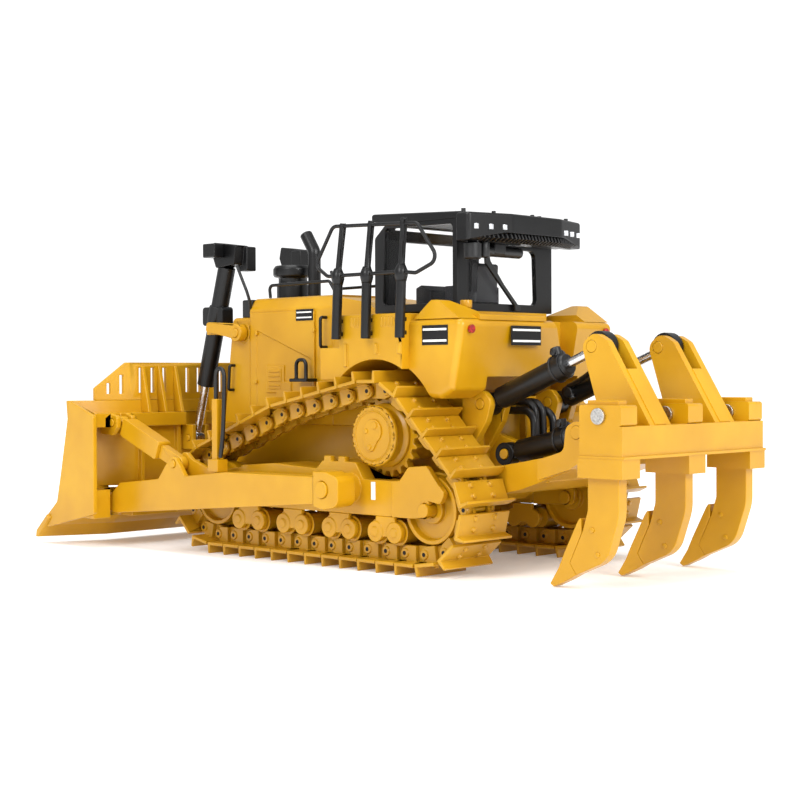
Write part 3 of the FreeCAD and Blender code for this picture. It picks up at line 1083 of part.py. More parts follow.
def ripper_beam():
    beam = block(BEAM_BACK, BEAM_FRONT, -BEAM_HALF, BEAM_HALF, BEAM_LOW, BEAM_TOP)
    rim = block(BEAM_BACK - 0.5, BEAM_FRONT, -BEAM_HALF - 0.2, BEAM_HALF + 0.2, BEAM_LOW - 0.5, BEAM_LOW)
    towers = []
    for y in (RIPPER_Y - EYE_HALF - 0.3 - EAR_HALF, RIPPER_Y + EYE_HALF + 0.3 + EAR_HALF):
        towers.append(prism([(BEAM_BACK + 0.6, BEAM_TOP), (TILT_EYE[0] - 3.4, TILT_EYE[1] + 1.0, 1.6),
                             (TILT_EYE[0] - 0.6, TILT_EYE[1] + 2.6, 2.0), (TILT_EYE[0] + 2.2, TILT_EYE[1] + 0.4, 2.0),
                             (TILT_EYE[0] - 2.3, BEAM_TOP), (BEAM_FRONT - 0.0, BEAM_TOP - 0.5), (BEAM_BACK + 0.6, BEAM_TOP - 0.5)],
                            y - EAR_HALF, y + EAR_HALF))
    # The tower's back plate closes the gap between its ears below the cylinder's eye.
    lean = V(TILT_EYE[0] - 3.4 - BEAM_BACK - 0.6, 0, TILT_EYE[1] + 1.0 - BEAM_TOP)
    back = strip((BEAM_BACK + 1.0, BEAM_TOP - 0.2), (BEAM_BACK + 1.0 + lean.x * 0.66, BEAM_TOP - 0.2 + lean.z * 0.66), 1.2,
                 RIPPER_Y - EYE_HALF - 0.4, RIPPER_Y + EYE_HALF + 0.4)
    towers.append(back)
    lug = prism([(BEAM_FRONT - 0.5, BEAM_LOW + 0.4), (BEAM_FRONT - 0.5, BEAM_TOP), (BEAM_PIN[0] - 1.4, BEAM_PIN[1] + 2.1, 1.4),
                 (BEAM_PIN[0] + 1.6, BEAM_PIN[1] + 1.6, 1.8), (BEAM_PIN[0] + 1.6, BEAM_PIN[1] - 1.8, 1.8),
                 (BEAM_PIN[0] - 2.0, BEAM_LOW + 0.4, 1.4)], RIPPER_LIFT_Y - EYE_HALF - 0.3 - 2.0, RIPPER_LIFT_Y - EYE_HALF - 0.3)
    pockets = []
    for y in (-SHANK_Y, 0, SHANK_Y):
        top = block(BEAM_BACK + 0.2, BEAM_FRONT, y - 2.3, y + 2.3, BEAM_TOP, BEAM_TOP + 3.6)
        foot = block(BEAM_BACK - 0.2, BEAM_FRONT + 0.2, y - 2.6, y + 2.6, BEAM_LOW - 3.8, BEAM_LOW - 0.5)
        pockets += [softened(top, 0.5, along((0, 1, 0))), foot]
    body = fuse(beam, rim, *[s for t in towers + [lug] for s in both(t)], *pockets)
    slots = [block(SHANK_BACK - 0.05, SHANK_FRONT + 0.05, y - SHANK_THICK / 2 - 0.05, y + SHANK_THICK / 2 + 0.05,
                   BEAM_LOW - 6, BEAM_TOP + 6) for y in (-SHANK_Y, 0, SHANK_Y)]
    shank_pins = [pin((SHANK_PIN_X, SHANK_PIN_Z), y - 6, y + 6, 1.0 + RUN) for y in (-SHANK_Y, 0, SHANK_Y)]
    holes = [pin(TILT_EYE, 4, 16, 1.1 + RUN), pin(BEAM_PIN, 4, 16, 1.2 + RUN)]
    body = cut(body, *slots, *[s for h in holes for s in both(h)])
    return cut(body, *[pin((SHANK_PIN_X, SHANK_PIN_Z), y - 3, y + 3, 1.0 + RUN) for y in (-SHANK_Y, 0, SHANK_Y)])


SHANK_PIN_X = (SHANK_FRONT + SHANK_BACK) / 2
SHANK_PIN_Z = BEAM_TOP + 1.7


def shank(y):
    """A curved ripper shank that hangs in its pocket."""
    body = prism([(SHANK_FRONT, BEAM_TOP + 4.4), (SHANK_BACK, BEAM_TOP + 4.4), (SHANK_BACK, 13.0, 9.0), (SHANK_BACK + 2.6, 5.4, 5.0),
                  (-62.4, 2.6), (-61.0, 4.6), (-63.8, 10.4, 2.0), (SHANK_FRONT, 14.0, 1.0)],
                 y - SHANK_THICK / 2, y + SHANK_THICK / 2)
    return cut(body, pin((SHANK_PIN_X, SHANK_PIN_Z), y - 3, y + 3, 1.0 + RUN))


def shank_tip(y):
    """The replaceable point and the wear plate up the shank's front edge."""
    half = SHANK_THICK / 2
    point = prism([(-61.0, 4.6), (-62.4, 2.6), (-60.6, 1.6, 0.4), (-57.4, TIP_Z, 0.2), (-56.6, TIP_Z + 0.5, 0.2), (-58.4, 3.4, 0.8),
                   (-59.6, 6.0)], y - half, y + half)
    plate = prism([(-61.0, 4.6), (-59.6, 6.0), (-62.6, 11.8, 0.4), (-63.4, 12.9, 0.3), (-63.55, 10.0)], y - half, y + half)
    return fuse(point, plate)


def eye_rod(base, eye, start, eye_radius, y, radius, bore):
    """A cylinder rod from a distance past its barrel's base to its eye."""
    length = math.hypot(eye[0] - base[0], eye[1] - base[1])
    a, b = toward(base, eye, start), toward(base, eye, length - 0.6)
    stem = fuse(rod((a[0], y, a[1]), (b[0], y, b[1]), radius), pin(eye, y - EYE_HALF, y + EYE_HALF, eye_radius))
    return cut(stem, pin(eye, y - 4, y + 4, bore))


def ripper_barrel(base, eye, reach, y, bore):
    """A cylinder barrel with an eye at its base and a gland at its open end."""
    def on_axis(distance):
        x, z = toward(base, eye, distance)
        return (x, y, z)
    barrel = fuse(pin(base, y - EYE_HALF, y + EYE_HALF, BASE_EYE_R),
                  rod(on_axis(1.4), on_axis(BASE_EYE_R + 1.6), EYE_HALF - 0.05),
                  rod(on_axis(BASE_EYE_R + 0.9), on_axis(reach), RIPPER_BARREL_R),
                  rod(on_axis(reach - 2.4), on_axis(reach - 0.4), RIPPER_BARREL_R + 0.35))
    hollow = rod(on_axis(BASE_EYE_R + 2.4), on_axis(reach + 1), RIPPER_ROD_R + RUN)
    return cut(barrel, hollow, pin(base, y - 4, y + 4, bore))


def rear_hoses():
    """Hydraulic hoses on the back of the hull, between the ripper's cylinders."""
    hoses = []
    for y, reach, top, foot in ((1.1, -37.0, 32.0, 21.0), (2.9, -38.2, 30.4, 19.0)):
        route = [(HULL_BACK, y, top), (reach, y, top), (reach - 0.4, y, foot), (HULL_BACK, y, foot)]
        hoses += both(bar(route, 0.75, 2.6))
    return hoses


def ripper_group():
    keep("ripper_bracket", *both(ripper_bracket()))
    keep("rear_hoses", rear_hoses())
    keep("ripper_link", ripper_link())
    keep("beam_pins", both(pin(BEAM_PIN, RIPPER_LIFT_Y - EYE_HALF - 2.4, LINK_PLATE_OUT + 1.9, 1.2)))
    keep("ripper_beam", ripper_beam())
    keep("ripper_shanks", [shank(y) for y in (-SHANK_Y, 0, SHANK_Y)])
    keep("ripper_tips", [shank_tip(y) for y in (-SHANK_Y, 0, SHANK_Y)])
    keep("bracket_pins", both(pin(LIFT_BASE, RIPPER_LIFT_Y - EYE_HALF - 1.9, RIPPER_LIFT_Y + EYE_HALF + 0.2, 1.0)),
         both(pin(LINK_FRONT_PIN, LINK_PLATE_IN - 2.2, LINK_PLATE_OUT, 1.1)),
         both(pin(TILT_BASE, RIPPER_Y - EYE_HALF - 1.9, RIPPER_Y + EYE_HALF + 1.9, 1.0)))
    shank_pins = [fuse(pin((SHANK_PIN_X, SHANK_PIN_Z), y - 2.3, y + 2.3, 1.0),
                       pin((SHANK_PIN_X, SHANK_PIN_Z), y + 2.3, y + 2.9, 1.4)) for y in (-SHANK_Y, 0, SHANK_Y)]
    keep("shank_pins", shank_pins)
    keep("tower_pins", both(pin(TILT_EYE, RIPPER_Y - EYE_HALF - 2.0, RIPPER_Y + EYE_HALF + 2.0, 1.1)))
    keep("tilt_barrels", both(ripper_barrel(TILT_BASE, TILT_EYE, 20.0, RIPPER_Y, 1.0 + RUN)))
    keep("tilt_rods", both(eye_rod(TILT_BASE, TILT_EYE, 8.0, 2.2, RIPPER_Y, RIPPER_ROD_R, 1.1 + RIPPER_SLACK)))
    keep("ripper_lift_barrels", both(ripper_barrel(LIFT_BASE, BEAM_PIN, 15.4, RIPPER_LIFT_Y, 1.0 + RUN)))
    keep("ripper_lift_rods", both(eye_rod(LIFT_BASE, BEAM_PIN, 7.4, 2.1, RIPPER_LIFT_Y, RIPPER_ROD_R, 1.2 + RIPPER_SLACK)))


# ---------------------------------------------------------------- build and write
def build():
    chains()
    wheels()
    undercarriage()
    bodywork()
    cab()
    rails()
    blade_group()
    ripper_group()
    whole = FreeCAD.BoundBox()
    for solids in nodes.values():
        for solid in solids:
            whole.add(solid.BoundBox)
    # Everything moves along X together, so that the origin is under the middle of the whole toy.
    offset = V(-whole.Center.x, 0, 0)
    for name, solids in nodes.items():
        nodes[name] = [solid.translated(offset) for solid in solids]
        Part.makeCompound(nodes[name]).exportStep("parts/" + name + ".step")
    return offset


OFFSET = build()
print(len(nodes), "sub-parts, chain pitch", round(STEP, 3), "moved along X by", round(OFFSET.x, 3))
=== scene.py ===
import json
import math
import bmesh
import bpy
from mathutils import Matrix, Vector


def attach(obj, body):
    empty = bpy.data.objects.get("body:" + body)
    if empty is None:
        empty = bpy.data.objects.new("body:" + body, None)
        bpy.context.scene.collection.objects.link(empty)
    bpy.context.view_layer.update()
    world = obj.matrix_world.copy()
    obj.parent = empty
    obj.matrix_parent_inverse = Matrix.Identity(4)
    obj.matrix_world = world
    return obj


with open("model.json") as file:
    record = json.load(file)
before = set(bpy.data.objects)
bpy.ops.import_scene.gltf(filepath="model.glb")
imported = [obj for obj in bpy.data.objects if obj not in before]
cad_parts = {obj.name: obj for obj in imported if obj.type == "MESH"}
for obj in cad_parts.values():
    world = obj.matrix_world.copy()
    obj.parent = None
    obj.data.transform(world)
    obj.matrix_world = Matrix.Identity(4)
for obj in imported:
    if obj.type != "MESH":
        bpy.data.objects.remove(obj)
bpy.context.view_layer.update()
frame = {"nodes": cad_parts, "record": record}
nodes = frame["nodes"]
SHIFT = -1.114          # the ground point between the idlers, from the middle of the box, mm


# ------------------------------------------------------------------ small tools
def at(x, y, z):
    """A point given in mm from the ground point midway between the idlers."""
    return Vector((x + SHIFT, y, z)) / 1000


def linear(code):
    """Turns an sRGB hex colour into linear RGBA."""
    parts = [int(code[i:i + 2], 16) / 255 for i in (0, 2, 4)]
    return [p / 12.92 if p <= 0.04045 else ((p + 0.055) / 1.055) ** 2.4 for p in parts] + [1.0]


def add(tree, kind, inputs=None, **settings):
    """Adds one node with its settings, and sets or links its inputs."""
    made = tree.nodes.new(kind)
    for name, value in settings.items():
        setattr(made, name, value)
    for name, value in (inputs or {}).items():
        if isinstance(value, bpy.types.NodeSocket):
            tree.links.new(value, made.inputs[name])
        else:
            made.inputs[name].default_value = value
    return made


def ramp(tree, source, stops):
    """Adds a colour ramp over a value, from (place, hex) stops."""
    made = add(tree, "ShaderNodeValToRGB", {"Fac": source})
    band = made.color_ramp
    while len(band.elements) < len(stops):
        band.elements.new(0.5)
    for element, (place, code) in zip(band.elements, stops):
        element.position = place
        element.color = linear(code)
    return made.outputs["Color"]


def new_material(name):
    made = bpy.data.materials.new(name)
    made.use_nodes = True
    made.node_tree.nodes.clear()
    return made, made.node_tree


def per_mm(size):
    """The noise scale that gives features of this size in mm, on coordinates in metres."""
    return 1000.0 / size


# ------------------------------------------------------------------ materials
def enamel(name, dark, middle, light, roughness, coat, peel=0.35, dust="B88A40", dust_share=0.08):
    """Sprayed enamel on die-cast zinc: a slow drift of colour, a fine orange peel, and a thin clear gloss."""
    made, tree = new_material(name)
    place = add(tree, "ShaderNodeTexCoord").outputs["Object"]
    drift = add(tree, "ShaderNodeTexNoise", {
        "Vector": place, "Scale": per_mm(16), "Detail": 3.0, "Roughness": 0.55})
    colour = ramp(tree, drift.outputs["Fac"], [(0.3, dark), (0.5, middle), (0.72, light)])
    speck = add(tree, "ShaderNodeTexNoise", {"Vector": place, "Scale": per_mm(0.9), "Detail": 2.0})
    grime = add(tree, "ShaderNodeMapRange", {"Value": speck.outputs["Fac"], "From Min": 0.56, "From Max": 0.8,
                                             "To Min": 0.0, "To Max": dust_share})
    mixed = add(tree, "ShaderNodeMix", {"Factor": grime.outputs["Result"]}, data_type="RGBA")
    tree.links.new(colour, mixed.inputs[6])
    mixed.inputs[7].default_value = linear(dust)
    gloss = add(tree, "ShaderNodeMapRange", {"Value": drift.outputs["Fac"], "From Min": 0.3, "From Max": 0.7,
                                             "To Min": roughness - 0.05, "To Max": roughness + 0.07})
    skin = add(tree, "ShaderNodeTexNoise", {"Vector": place, "Scale": per_mm(0.55), "Detail": 1.5})
    bump = add(tree, "ShaderNodeBump", {"Height": skin.outputs["Fac"], "Strength": peel, "Distance": 0.00003})
    shader = add(tree, "ShaderNodeBsdfPrincipled", {
        "Base Color": mixed.outputs[2], "Roughness": gloss.outputs["Result"], "Normal": bump.outputs["Normal"],
        "IOR": 1.4, "Coat Weight": coat, "Coat Roughness": 0.22})
    add(tree, "ShaderNodeOutputMaterial", {"Surface": shader.outputs["BSDF"]})
    return made


def moulded(name, dark, light, roughness, grain=0.4, size=0.35):
    """Injection-moulded ABS with a fine spark-eroded grain that scatters the highlights."""
    made, tree = new_material(name)
    place = add(tree, "ShaderNodeTexCoord").outputs["Object"]
    cloud = add(tree, "ShaderNodeTexNoise", {"Vector": place, "Scale": per_mm(9), "Detail": 2.0})
    colour = ramp(tree, cloud.outputs["Fac"], [(0.35, dark), (0.68, light)])
    grit = add(tree, "ShaderNodeTexNoise", {"Vector": place, "Scale": per_mm(size), "Detail": 2.0})
    rough = add(tree, "ShaderNodeMapRange", {"Value": grit.outputs["Fac"], "From Min": 0.3, "From Max": 0.7,
                                             "To Min": roughness - 0.06, "To Max": roughness + 0.08})
    bump = add(tree, "ShaderNodeBump", {"Height": grit.outputs["Fac"], "Strength": grain, "Distance": 0.00003})
    shader = add(tree, "ShaderNodeBsdfPrincipled", {
        "Base Color": colour, "Roughness": rough.outputs["Result"], "Normal": bump.outputs["Normal"], "IOR": 1.52})
    add(tree, "ShaderNodeOutputMaterial", {"Surface": shader.outputs["BSDF"]})
    return made


def turned_steel(name, dark, light, roughness):
    """Turned and polished steel: fine rings left by the tool, and a soft smear of oil."""
    made, tree = new_material(name)
    place = add(tree, "ShaderNodeTexCoord").outputs["Object"]
    rings = add(tree, "ShaderNodeTexNoise", {"Vector": place, "Scale": per_mm(0.4), "Detail": 3.0})
    colour = ramp(tree, rings.outputs["Fac"], [(0.35, dark), (0.65, light)])
    rough = add(tree, "ShaderNodeMapRange", {"Value": rings.outputs["Fac"], "From Min": 0.3, "From Max": 0.7,
                                             "To Min": roughness - 0.05, "To Max": roughness + 0.09})
    bump = add(tree, "ShaderNodeBump", {"Height": rings.outputs["Fac"], "Strength": 0.15, "Distance": 0.00002})
    shader = add(tree, "ShaderNodeBsdfPrincipled", {
        "Base Color": colour, "Metallic": 1.0, "Roughness": rough.outputs["Result"],
        "Normal": bump.outputs["Normal"]})
    add(tree, "ShaderNodeOutputMaterial", {"Surface": shader.outputs["BSDF"]})
    return made


def glazing(name):
    """Clear polystyrene sheet: sharp reflections over a fully clear body."""
    made, tree = new_material(name)
    place = add(tree, "ShaderNodeTexCoord").outputs["Object"]
    haze = add(tree, "ShaderNodeTexNoise", {"Vector": place, "Scale": per_mm(6), "Detail": 2.0})
    rough = add(tree, "ShaderNodeMapRange", {"Value": haze.outputs["Fac"], "From Min": 0.3, "From Max": 0.7,
                                             "To Min": 0.02, "To Max": 0.07})
    clear = add(tree, "ShaderNodeBsdfTransparent", {"Color": linear("FFFFFF")})
    shine = add(tree, "ShaderNodeBsdfGlossy", {"Color": linear("FFFFFF"), "Roughness": rough.outputs["Result"]})
    edge = add(tree, "ShaderNodeFresnel", {"IOR": 1.15})
    both_ways = add(tree, "ShaderNodeMixShader", {"Fac": edge.outputs["Fac"]})
    tree.links.new(clear.outputs["BSDF"], both_ways.inputs[1])
    tree.links.new(shine.outputs["BSDF"], both_ways.inputs[2])
    add(tree, "ShaderNodeOutputMaterial", {"Surface": both_ways.outputs["Shader"]})
    return made


def lens(name, dark, light, glow=0.0):
    """Dyed acrylic with a pattern of small prisms under a glossy face."""
    made, tree = new_material(name)
    place = add(tree, "ShaderNodeTexCoord").outputs["Object"]
    cells = add(tree, "ShaderNodeTexVoronoi", {"Vector": place, "Scale": per_mm(0.35)})
    colour = ramp(tree, cells.outputs["Distance"], [(0.1, light), (0.6, dark)])
    bump = add(tree, "ShaderNodeBump", {"Height": cells.outputs["Distance"], "Strength": 0.3, "Distance": 0.00005})
    shader = add(tree, "ShaderNodeBsdfPrincipled", {
        "Base Color": colour, "Roughness": 0.18, "Normal": bump.outputs["Normal"], "IOR": 1.49, "Coat Weight": 0.6,
        "Coat Roughness": 0.05})
    add(tree, "ShaderNodeOutputMaterial", {"Surface": shader.outputs["BSDF"]})
    return made


paints = {
    "yellow_paint": enamel("yellow_enamel", "B98606", "C38F0C", "CD9B16", 0.33, 0.2),
    "track_yellow": enamel("track_enamel", "AD7D0C", "B88710", "C4931A", 0.35, 0.2, dust="A87C38", dust_share=0.2),
    "black_paint": enamel("black_enamel", "050506", "080809", "0C0C0D", 0.38, 0.1, dust="202020"),
    "black_plastic": moulded("black_abs", "060607", "0D0D0E", 0.42),
    "seat_plastic": moulded("seat_abs", "1B1B1E", "2A2A2E", 0.55),
    "bright_steel": turned_steel("polished_steel", "C4C4C6", "E0E0E2", 0.2),
    "steel_pin": turned_steel("satin_steel", "A9A7A3", "D0CDC8", 0.3),
    "clear_glazing": glazing("clear_polystyrene"),
    "red_lens": lens("red_acrylic", "8A0D0A", "C81A12"),
}
label_white = moulded("label_paper", "E9E9E6", "F6F6F3", 0.5, grain=0.1)
lamp_clear = lens("clear_acrylic", "C9CDD2", "F2F4F6")


# ------------------------------------------------------------------ finish of the cast and moulded pieces
def smooth_group():
    """A geometry group that shades every face smooth, so the bevels carry the light."""
    group = bpy.data.node_groups.new("shade_smooth", "GeometryNodeTree")
    group.interface.new_socket("Geometry", in_out="INPUT", socket_type="NodeSocketGeometry")
    group.interface.new_socket("Geometry", in_out="OUTPUT", socket_type="NodeSocketGeometry")
    start = add(group, "NodeGroupInput")
    shade = add(group, "GeometryNodeSetShadeSmooth", {"Geometry": start.outputs[0]})
    add(group, "NodeGroupOutput", {"Geometry": shade.outputs["Geometry"]})
    return group


shade_smooth = smooth_group()
EDGE_SOFT = {"yellow_paint": 0.16, "track_yellow": 0.12, "black_paint": 0.14, "black_plastic": 0.1,
             "seat_plastic": 0.25, "bright_steel": 0.06, "steel_pin": 0.1}
CLOSE_EDGES = ("fuel_tank", "ripper_beam", "ripper_link")     # narrow facets here, so their bevels stop early
for row in frame["record"]["subparts"]:
    piece = nodes[row["node"]]
    slot_name = row["material_slot"]
    piece.data.materials.clear()
    piece.data.materials.append(paints[slot_name])
    weld = piece.modifiers.new("weld", "WELD")
    weld.merge_threshold = 0.000002
    if slot_name in EDGE_SOFT:
        flat = piece.modifiers.new("flat", "DECIMATE")
        flat.decimate_type = "DISSOLVE"
        flat.angle_limit = math.radians(0.6)
        soft = piece.modifiers.new("soft_edges", "BEVEL")
        soft.width = EDGE_SOFT[slot_name] / 1000
        soft.segments = 1 if row["node"].startswith("track_links") else 2
        soft.limit_method = "ANGLE"
        soft.angle_limit = math.radians(32)
        soft.use_clamp_overlap = row["node"] in CLOSE_EDGES
        smooth = piece.modifiers.new("smooth", "NODES")
        smooth.node_group = shade_smooth
        even = piece.modifiers.new("even_normals", "WEIGHTED_NORMAL")
        even.keep_sharp = True


# ------------------------------------------------------------------ small pieces
class Work:
    """A bmesh in mm, measured from the ground point midway between the idlers."""

    def __init__(self):
        self.mesh = bmesh.new()

    def drum(self, start, end, radius, end_radius=None, segments=24, bevel=0.0):
        """A closed round bar between two points, with its rims rolled over."""
        a, b = Vector(start), Vector(end)
        turn = (b - a).to_track_quat("Z", "Y").to_matrix().to_4x4()
        made = bmesh.ops.create_cone(
            self.mesh, cap_ends=True, segments=segments, radius1=radius, depth=(b - a).length,
            radius2=radius if end_radius is None else end_radius, matrix=Matrix.Translation((a + b) / 2) @ turn)
        if bevel:
            rims = {e for v in made["verts"] for e in v.link_edges if any(len(f.verts) > 4 for f in e.link_faces)}
            bmesh.ops.bevel(self.mesh, geom=list(rims), offset=bevel, segments=2, profile=0.5, affect="EDGES",
                            material=-1)
        return self

    def box(self, low, high, bevel=0.15, turn=None):
        """A block between two corners, with softened edges, turned about its middle if asked."""
        a, b = Vector(low), Vector(high)
        size = Matrix.Diagonal((*(b - a), 1))
        place = Matrix.Translation((a + b) / 2)
        spin = Matrix.Rotation(math.radians(turn[1]), 4, turn[0]) if turn else Matrix.Identity(4)
        made = bmesh.ops.create_cube(self.mesh, size=1.0, matrix=place @ spin @ size)
        if bevel:
            edges = {e for v in made["verts"] for e in v.link_edges}
            bmesh.ops.bevel(self.mesh, geom=list(edges), offset=bevel, segments=2, profile=0.5, affect="EDGES",
                            material=-1)
        return self

    def ring(self, centre, axis, radius, thick, segments=24):
        """A round ring of bar, swept once round its axis."""
        turn = Vector(axis).to_track_quat("Z", "Y").to_matrix().to_4x4()
        place = Matrix.Translation(Vector(centre)) @ turn
        upright = Matrix.Rotation(math.pi / 2, 4, "X")
        made = bmesh.ops.create_circle(self.mesh, segments=8, radius=thick,
                                       matrix=place @ Matrix.Translation((radius, 0, 0)) @ upright)
        edges = list({e for v in made["verts"] for e in v.link_edges})
        bmesh.ops.spin(self.mesh, geom=edges, cent=place.translation, axis=turn.col[2].to_3d(),
                       angle=2 * math.pi, steps=segments, use_merge=True)
        return self

    def mirror(self):
        """Copies everything to the other side of the machine."""
        whole = self.mesh.verts[:] + self.mesh.edges[:] + self.mesh.faces[:]
        copy = bmesh.ops.duplicate(self.mesh, geom=whole)
        verts = [g for g in copy["geom"] if isinstance(g, bmesh.types.BMVert)]
        faces = [g for g in copy["geom"] if isinstance(g, bmesh.types.BMFace)]
        bmesh.ops.scale(self.mesh, vec=(1, -1, 1), verts=verts)
        bmesh.ops.reverse_faces(self.mesh, faces=faces)
        return self

    def piece(self, name, material, body, slot_name, smooth=True):
        """Turns the work into a piece of the object that rides a body."""
        bmesh.ops.remove_doubles(self.mesh, verts=self.mesh.verts[:], dist=0.0005)
        bmesh.ops.recalc_face_normals(self.mesh, faces=self.mesh.faces[:])
        bmesh.ops.translate(self.mesh, vec=(SHIFT, 0, 0), verts=self.mesh.verts[:])
        bmesh.ops.scale(self.mesh, vec=(0.001, 0.001, 0.001), verts=self.mesh.verts[:])
        data = bpy.data.meshes.new(name)
        self.mesh.to_mesh(data)
        self.mesh.free()
        data.materials.append(material)
        made = bpy.data.objects.new(name, data)
        bpy.context.scene.collection.objects.link(made)
        if smooth:
            shade = made.modifiers.new("smooth", "NODES")
            shade.node_group = shade_smooth
            even = made.modifiers.new("even_normals", "WEIGHTED_NORMAL")
            even.keep_sharp = True
        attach(made, body)
        return made


def hose(name, runs, radius, body, material=None):
    """Rubber hoses, each a smooth line through its points, made into one mesh."""
    data = bpy.data.curves.new(name, "CURVE")
    data.dimensions = "3D"
    data.bevel_depth = radius / 1000
    data.bevel_resolution = 3
    data.resolution_u = 6
    data.use_fill_caps = True
    for points in runs:
        line = data.splines.new("NURBS")
        line.points.add(len(points) - 1)
        for spot, (x, y, z) in zip(line.points, points):
            spot.co = (*at(x, y, z), 1)
        line.order_u = 3
        line.use_endpoint_u = True
    curve = bpy.data.objects.new(name + "_line", data)
    bpy.context.scene.collection.objects.link(curve)
    mesh = bpy.data.meshes.new_from_object(curve.evaluated_get(bpy.context.evaluated_depsgraph_get()))
    bpy.data.objects.remove(curve)
    mesh.materials.clear()
    mesh.materials.append(material or paints["black_plastic"])
    made = bpy.data.objects.new(name, mesh)
    bpy.context.scene.collection.objects.link(made)
    shade = made.modifiers.new("smooth", "NODES")
    shade.node_group = shade_smooth
    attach(made, body)
    return made


def mirrored(points):
    return [(x, -y, z) for x, y, z in points]


def islands(name):
    """The middle and the y range of each loose part of a CAD node, in mm from the ground point."""
    shape = bmesh.new()
    shape.from_mesh(nodes[name].data)
    bmesh.ops.remove_doubles(shape, verts=shape.verts[:], dist=0.000002)
    seen, found = set(), []
    for first in shape.verts:
        if first in seen:
            continue
        group, queue = [], [first]
        seen.add(first)
        while queue:
            spot = queue.pop()
            group.append(spot.co.copy())
            for edge in spot.link_edges:
                other = edge.other_vert(spot)
                if other not in seen:
                    seen.add(other)
                    queue.append(other)
        low = Vector([min(c[i] for c in group) for i in range(3)]) * 1000
        high = Vector([max(c[i] for c in group) for i in range(3)]) * 1000
        middle = (low + high) / 2
        found.append((middle.x - SHIFT, middle.z, low.y, high.y))
    shape.free()
    return found


# Places in mm from the ground point, x and z, and y where a name says so.
SPROCKET = (-17.3, 25.8)        # the final drive's axis
HUB_FACE = 25.85                # y of the hub cover's outer face
HOOD_SIDE = 12.0                # y of the engine doors
TILT_EYE = (-59.9, 42.3)        # the eye of each tilt rod, in its tower
POST = (22.5, 31.0)             # x and y of the blade's hose post
TAG_Y = 25.72                   # y of the track frame's outer face


def final_drives():
    """Each hub cover has a raised, pear-shaped boss with three small lugs."""
    x, z = SPROCKET
    for side, sign in (("left", 1), ("right", -1)):
        work = Work()
        for dx, dz, radius, height in ((-0.3, 0.9, 2.3, 0.35), (0.6, -1.6, 1.5, 0.32), (0.3, -0.4, 1.9, 0.3),
                                       (-0.9, 2.0, 0.7, 0.62), (1.3, 0.9, 0.5, 0.6), (0.6, -2.2, 0.55, 0.58)):
            work.drum((x + dx, sign * (HUB_FACE - 0.1), z + dz), (x + dx, sign * (HUB_FACE + height), z + dz),
                      radius, bevel=0.12)
        work.ring((x, sign * HUB_FACE, z), (0, 1, 0), 4.55, 0.14, segments=40)
        work.piece("hub_relief_" + side, paints["yellow_paint"], side + "_sprocket", "yellow_paint")


def chain_bosses():
    """A turned boss round each chain pin, with the pin's end sunk in it, and a matt black disc of painted shade on
    that sunk end.
    """
    bosses, pin_end_shade = Work(), Work()
    for x, z, low, high in islands("track_pins"):
        for y, sign in ((low, -1), (high, 1)):
            bosses.drum((x, y - sign * 0.15, z), (x, y + sign * 0.12, z), 1.0, end_radius=0.85, segments=12)
            pin_end_shade.drum((x, y, z), (x, y + sign * 0.16, z), 0.42, segments=8)
    bosses.piece("chain_bosses", paints["track_yellow"], "chassis", "track_yellow", smooth=False)
    # The pin end discs are painted shade: matt black where each pin's end sits sunk in its boss.
    pin_end_shade.piece("painted_pin_end_shade", matt_black_and_shade_paint, "chassis", "black_paint", smooth=False)


def hood_details():
    """The service panels, vent box, latches and the black box ahead of the hood."""
    side = HOOD_SIDE
    panels = Work()
    panels.box((22.6, side - 0.1, 33.6), (28.4, side + 0.55, 39.6), 0.2)
    panels.box((23.4, side + 0.3, 34.4), (27.6, side + 0.75, 38.8), 0.15)
    for z in (35.2, 36.2, 37.2, 38.2):
        panels.box((23.8, side + 0.6, z - 0.15), (27.2, side + 0.95, z + 0.15), 0.08)
    panels.mirror().piece("door_vents", paints["yellow_paint"], "chassis", "yellow_paint")
    latches = Work()
    for x, z in ((31.6, 46.5), (13.4, 46.8), (31.8, 36.0)):
        latches.drum((x, side + 0.2, z), (x, side + 0.75, z), 0.5, bevel=0.1, segments=16)
    latches.mirror().piece("door_latches", paints["yellow_paint"], "chassis", "yellow_paint")
    box = Work()
    box.box((34.4, 4.0, 50.0), (37.8, 11.2, 54.0), 0.35)
    box.box((34.6, -10.6, 50.0), (37.4, -3.4, 53.0), 0.35)
    box.piece("nose_boxes", paints["black_plastic"], "chassis", "black_plastic")


